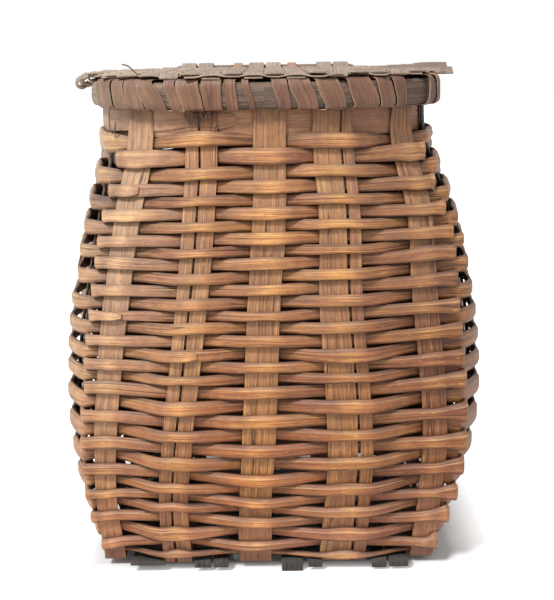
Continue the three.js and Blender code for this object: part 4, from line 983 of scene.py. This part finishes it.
def plaited(axis, fixed, low, high, crossed, first_up, width, thick, level, seed, tail=None, head=None,
            lift=(0, 0), twist=(0, 0), tone=0.0, buckle=0.0):
    """A strip that rises and dips as cos(pi * number of crossed strips), with its ends at low and high. Its
    left and right ends may be lifted and twisted, it may buckle up near the front, and it is led on along a
    curl or hook if one is given."""
    at = np.arange(low, high + 0.1, (high - low) / max(8, round((high - low) / 4)))
    number = np.interp(at, crossed, np.arange(len(crossed)))
    rise = level * np.clip(1.5 * np.cos(np.pi * (number + first_up)), -1, 1)
    middle = np.zeros((len(at), 3))
    middle[:, axis], middle[:, 1 - axis] = at, fixed + wander(at, 0.35, seed, 150)
    left_end, right_end = np.clip((-156 - at) / 9, 0, 1), np.clip((at - 92) / 34, 0, 1)
    middle[:, 2] = (MAT_Z + rise + wander(at, 0.25, seed + 1, 90) + lift[0] * left_end + lift[1] * right_end
                    + buckle * np.exp(-((at + 134) / 13) ** 2))
    angle = np.radians(twist[0] * left_end + twist[1] * right_end)
    if head is not None:
        middle, angle = np.concatenate([head[::-1], middle]), np.append(np.full(len(head), angle[0]), angle)
    if tail is not None:
        middle, angle = np.concatenate([middle, tail]), np.append(angle, np.zeros(len(tail)))
    along = unit(np.gradient(middle, axis=0))
    across = squared_to((ALONG_Y, ALONG_X)[axis], along)
    if axis == 0:
        across = across * np.cos(angle)[:, None] + np.cross(along, across) * np.sin(angle)[:, None]
    place = np.arange(len(middle)) * 4.0
    return splint(middle, across, np.cross(along, across) * (1, -1)[axis],
                  width * (1 + wander(place, 0.03, seed + 2, 120)), thick, square=6,
                  tone=wander(place, 0.6, seed + 3, 200) + tone)


# Laths that stand past the rim: their left and right ends, lifts and twists there, and the radius of the
# curl at the left
LONG_LATHS = {(3, 1): (-165, 160, -2.5, -0.2, 10, 14, 2.6), (4, 0): (-169, 169, -4, 0.4, 14, 22, 3.8),
              (4, 1): (-166, 166, -1.5, 1.9, 18, 28, 4.2), (5, 0): (-163, 158, -1, 0.2, 12, 14, 3.0)}
rng = np.random.default_rng(71)
for n in range(9):
    strips = []
    for k, y in enumerate(LATH_Y[n]):
        reach = lid_reach(abs(y) + 3) - 1
        strip = dict(axis=0, fixed=y, low=RIM_LEAN - reach + rng.uniform(-1, 2),
                     high=RIM_LEAN + reach + rng.uniform(-2, 1), crossed=LID_X.ravel(), first_up=k,
                     width=14.8, thick=1.5, level=0.8, seed=500 + 20 * n + 5 * k)
        if (n, k) in LONG_LATHS:
            low, high, left_lift, right_lift, left_twist, right_twist, curl = LONG_LATHS[n, k]
            turn = np.radians(np.arange(20, 250, 22.0))
            head = np.stack([low - curl * np.sin(turn), np.full(len(turn), y),
                             MAT_Z + left_lift - curl + curl * np.cos(turn)], -1)
            strip.update(low=low, high=high, lift=(left_lift, right_lift), twist=(left_twist, right_twist),
                         head=head, tone=-1.8)
        strips.append(plaited(**strip))
    make_piece(f"lid_lath_{n + 1}_pair", strips, lid_wood, "lid", "lid_splint", f"lid_lath_{n + 1}")
HOOKED, HOOK_START = (2, 4, 6), 143
SHORT, SHORT_BACK = (3, 5), 139         # these two end in front of the hinge loops
HOOK = np.concatenate([[[149, 427.4], [155.5, 428.8]], round_stick(5.0, np.arange(75, -131, -17.0))])
BUCKLES = {(3, 1): 3.2, (4, 1): 2.4, (5, 1): 4.2, (6, 0): 3.6, (1, 1): 1.8}
for n in range(9):
    strips = []
    for k, x in enumerate(LID_X[n]):
        reach = lid_reach(abs(x - RIM_LEAN) + 3) - 1
        back = HOOK_START if n in HOOKED else SHORT_BACK if n in SHORT else reach
        strips.append(plaited(1, x, -reach, back, LATH_Y.ravel(), 1 - k, 15.2, 1.3, 1.7, 700 + 20 * n + 5 * k,
                              tail=at_place(x, HOOK) if n in HOOKED else None, buckle=BUCKLES.get((n, k), 0)))
    if n == 1:      # a stray fibre stands up at the front left
        stray = np.array([[-104, -134, 424.5], [-109, -134, 429], [-113, -134, 432.5], [-118, -134, 434]])
        strips.append(path_splint(stray, np.array([0, 0.4, 1.0]), 1.1, 0.7, step=1.5, tone=np.full(4, -1.0)))
    make_piece(f"lid_splint_{n + 1}_pair", strips, lid_wood, "lid", "lid_splint", f"lid_splint_{n + 1}")


# Hinge stick. A straight peeled stick, worn smooth, which the lid's splints are hooked round.
stick_wood = aged_splint(
    "stick_worn", dark=(84, 62, 46), middle=(122, 92, 68), light=(152, 120, 90), patina=(112, 98, 88),
    patina_share=0.5, low=(255, 250, 245), edge=(140, 110, 84), edge_share=0.1, dust=(140, 126, 114),
    dust_share=0.4, rough=0.6, fibre=(0.0008, 0.08, 0.006), cracks=0.6, relief=0.0004)
x = np.linspace(-92, 92, 48)
rounded_end = np.sqrt(np.clip(1 - (np.abs(x) / 92.6) ** 40, 0.2, 1))
thick = 2 * STICK_RADIUS * (1 - 0.05 * np.abs(np.sin(x / 37))) * rounded_end
middle = np.stack([x + RIM_LEAN, np.full(len(x), STICK_Y), np.full(len(x), STICK_Z)], -1)
made = splint(middle, ALONG_Y, UP, thick, thick, square=2, tone=wander(x, 0.4, 901, 80))
make_piece("lid_hinge_stick_peeled", [made], stick_wood, "lid", "stick_wood", "lid_hinge_stick")


# Floor and light. A pale studio floor that the camera sees as white beyond the basket, one soft lamp from
# the upper left in front, a weak wide one, and an even white surround.
floor_mesh = bpy.data.meshes.new("studio_floor")
floor_mesh.from_pydata([(-6, -3, 0), (6, -3, 0), (6, 9, 0), (-6, 9, 0)], [], [(0, 1, 2, 3)])
floor = bpy.data.objects.new("studio_floor", floor_mesh)
bpy.context.scene.collection.objects.link(floor)
floor_paint = bpy.data.materials.new("studio_floor_white")
floor_paint.use_nodes = True
tree = floor_paint.node_tree
shader = tree.nodes["Principled BSDF"]
shader.inputs["Base Color"].default_value = (0.8, 0.8, 0.8, 1)
shader.inputs["Roughness"].default_value = 0.9
floor_x, floor_y, _ = node(tree, "SeparateXYZ", {0: node(tree, "TexCoord").outputs["Object"]}).outputs
far_out = maths(tree, "MAXIMUM", maths(tree, "ABSOLUTE", floor_x),
                maths(tree, "ABSOLUTE", maths(tree, "SUBTRACT", floor_y, 0.03)))
glow = node(tree, "Emission", {0: (1, 1, 1, 1), 1: ranged(tree, far_out, 0.155, 0.2, 0.0, 0.74)})
lit = node(tree, "AddShader", {0: shader.outputs[0], 1: glow.outputs[0]})
chosen = node(tree, "MixShader", {
    0: node(tree, "LightPath").outputs["Is Camera Ray"], 1: shader.outputs[0], 2: lit.outputs[0]})
tree.links.new(chosen.outputs[0], tree.nodes["Material Output"].inputs[0])
floor_mesh.materials.append(floor_paint)

world = bpy.data.worlds.new("studio_surround")
bpy.context.scene.world = world
world.use_nodes = True
tree = world.node_tree
rays = node(tree, "LightPath").outputs
clear = maths(tree, "MAXIMUM", rays["Is Camera Ray"],
              maths(tree, "MAXIMUM", rays["Is Glossy Ray"], rays["Is Transmission Ray"]))
tree.links.new(maths(tree, "MULTIPLY_ADD", clear, 0.45, 0.55), tree.nodes["Background"].inputs["Strength"])
tree.nodes["Background"].inputs["Color"].default_value = (1, 1, 1, 1)

for name, turn, power, wide in (("key_lamp", (35, -30, 0), 3.1, 12), ("fill_lamp", (66, 20, 0), 0.5, 60)):
    lamp = bpy.data.lights.new(name, "SUN")
    lamp.energy, lamp.angle = power, np.radians(wide)
    holder = bpy.data.objects.new(name, lamp)
    holder.rotation_euler = Euler(np.radians(turn))
    bpy.context.scene.collection.objects.link(holder)

# Camera. It stands 1.25 m in front, level with the lid, and looks down by about 11 degrees.
camera = bpy.data.objects.new("camera", bpy.data.cameras.new("camera"))
bpy.context.scene.collection.objects.link(camera)
camera.data.lens, camera.data.sensor_width, camera.data.sensor_fit = 80.66, 36, "AUTO"
camera.data.shift_x = 5 / 600
camera.location = (-0.0006, -1.25, 0.45)
tilt = Euler((np.radians(90 - 10.84), 0, 0)).to_matrix().to_4x4() @ Matrix.Rotation(np.radians(-0.7), 4, "Z")
camera.rotation_euler = tilt.to_euler()
bpy.context.scene.camera = camera
bpy.context.scene.view_settings.view_transform = "Standard"
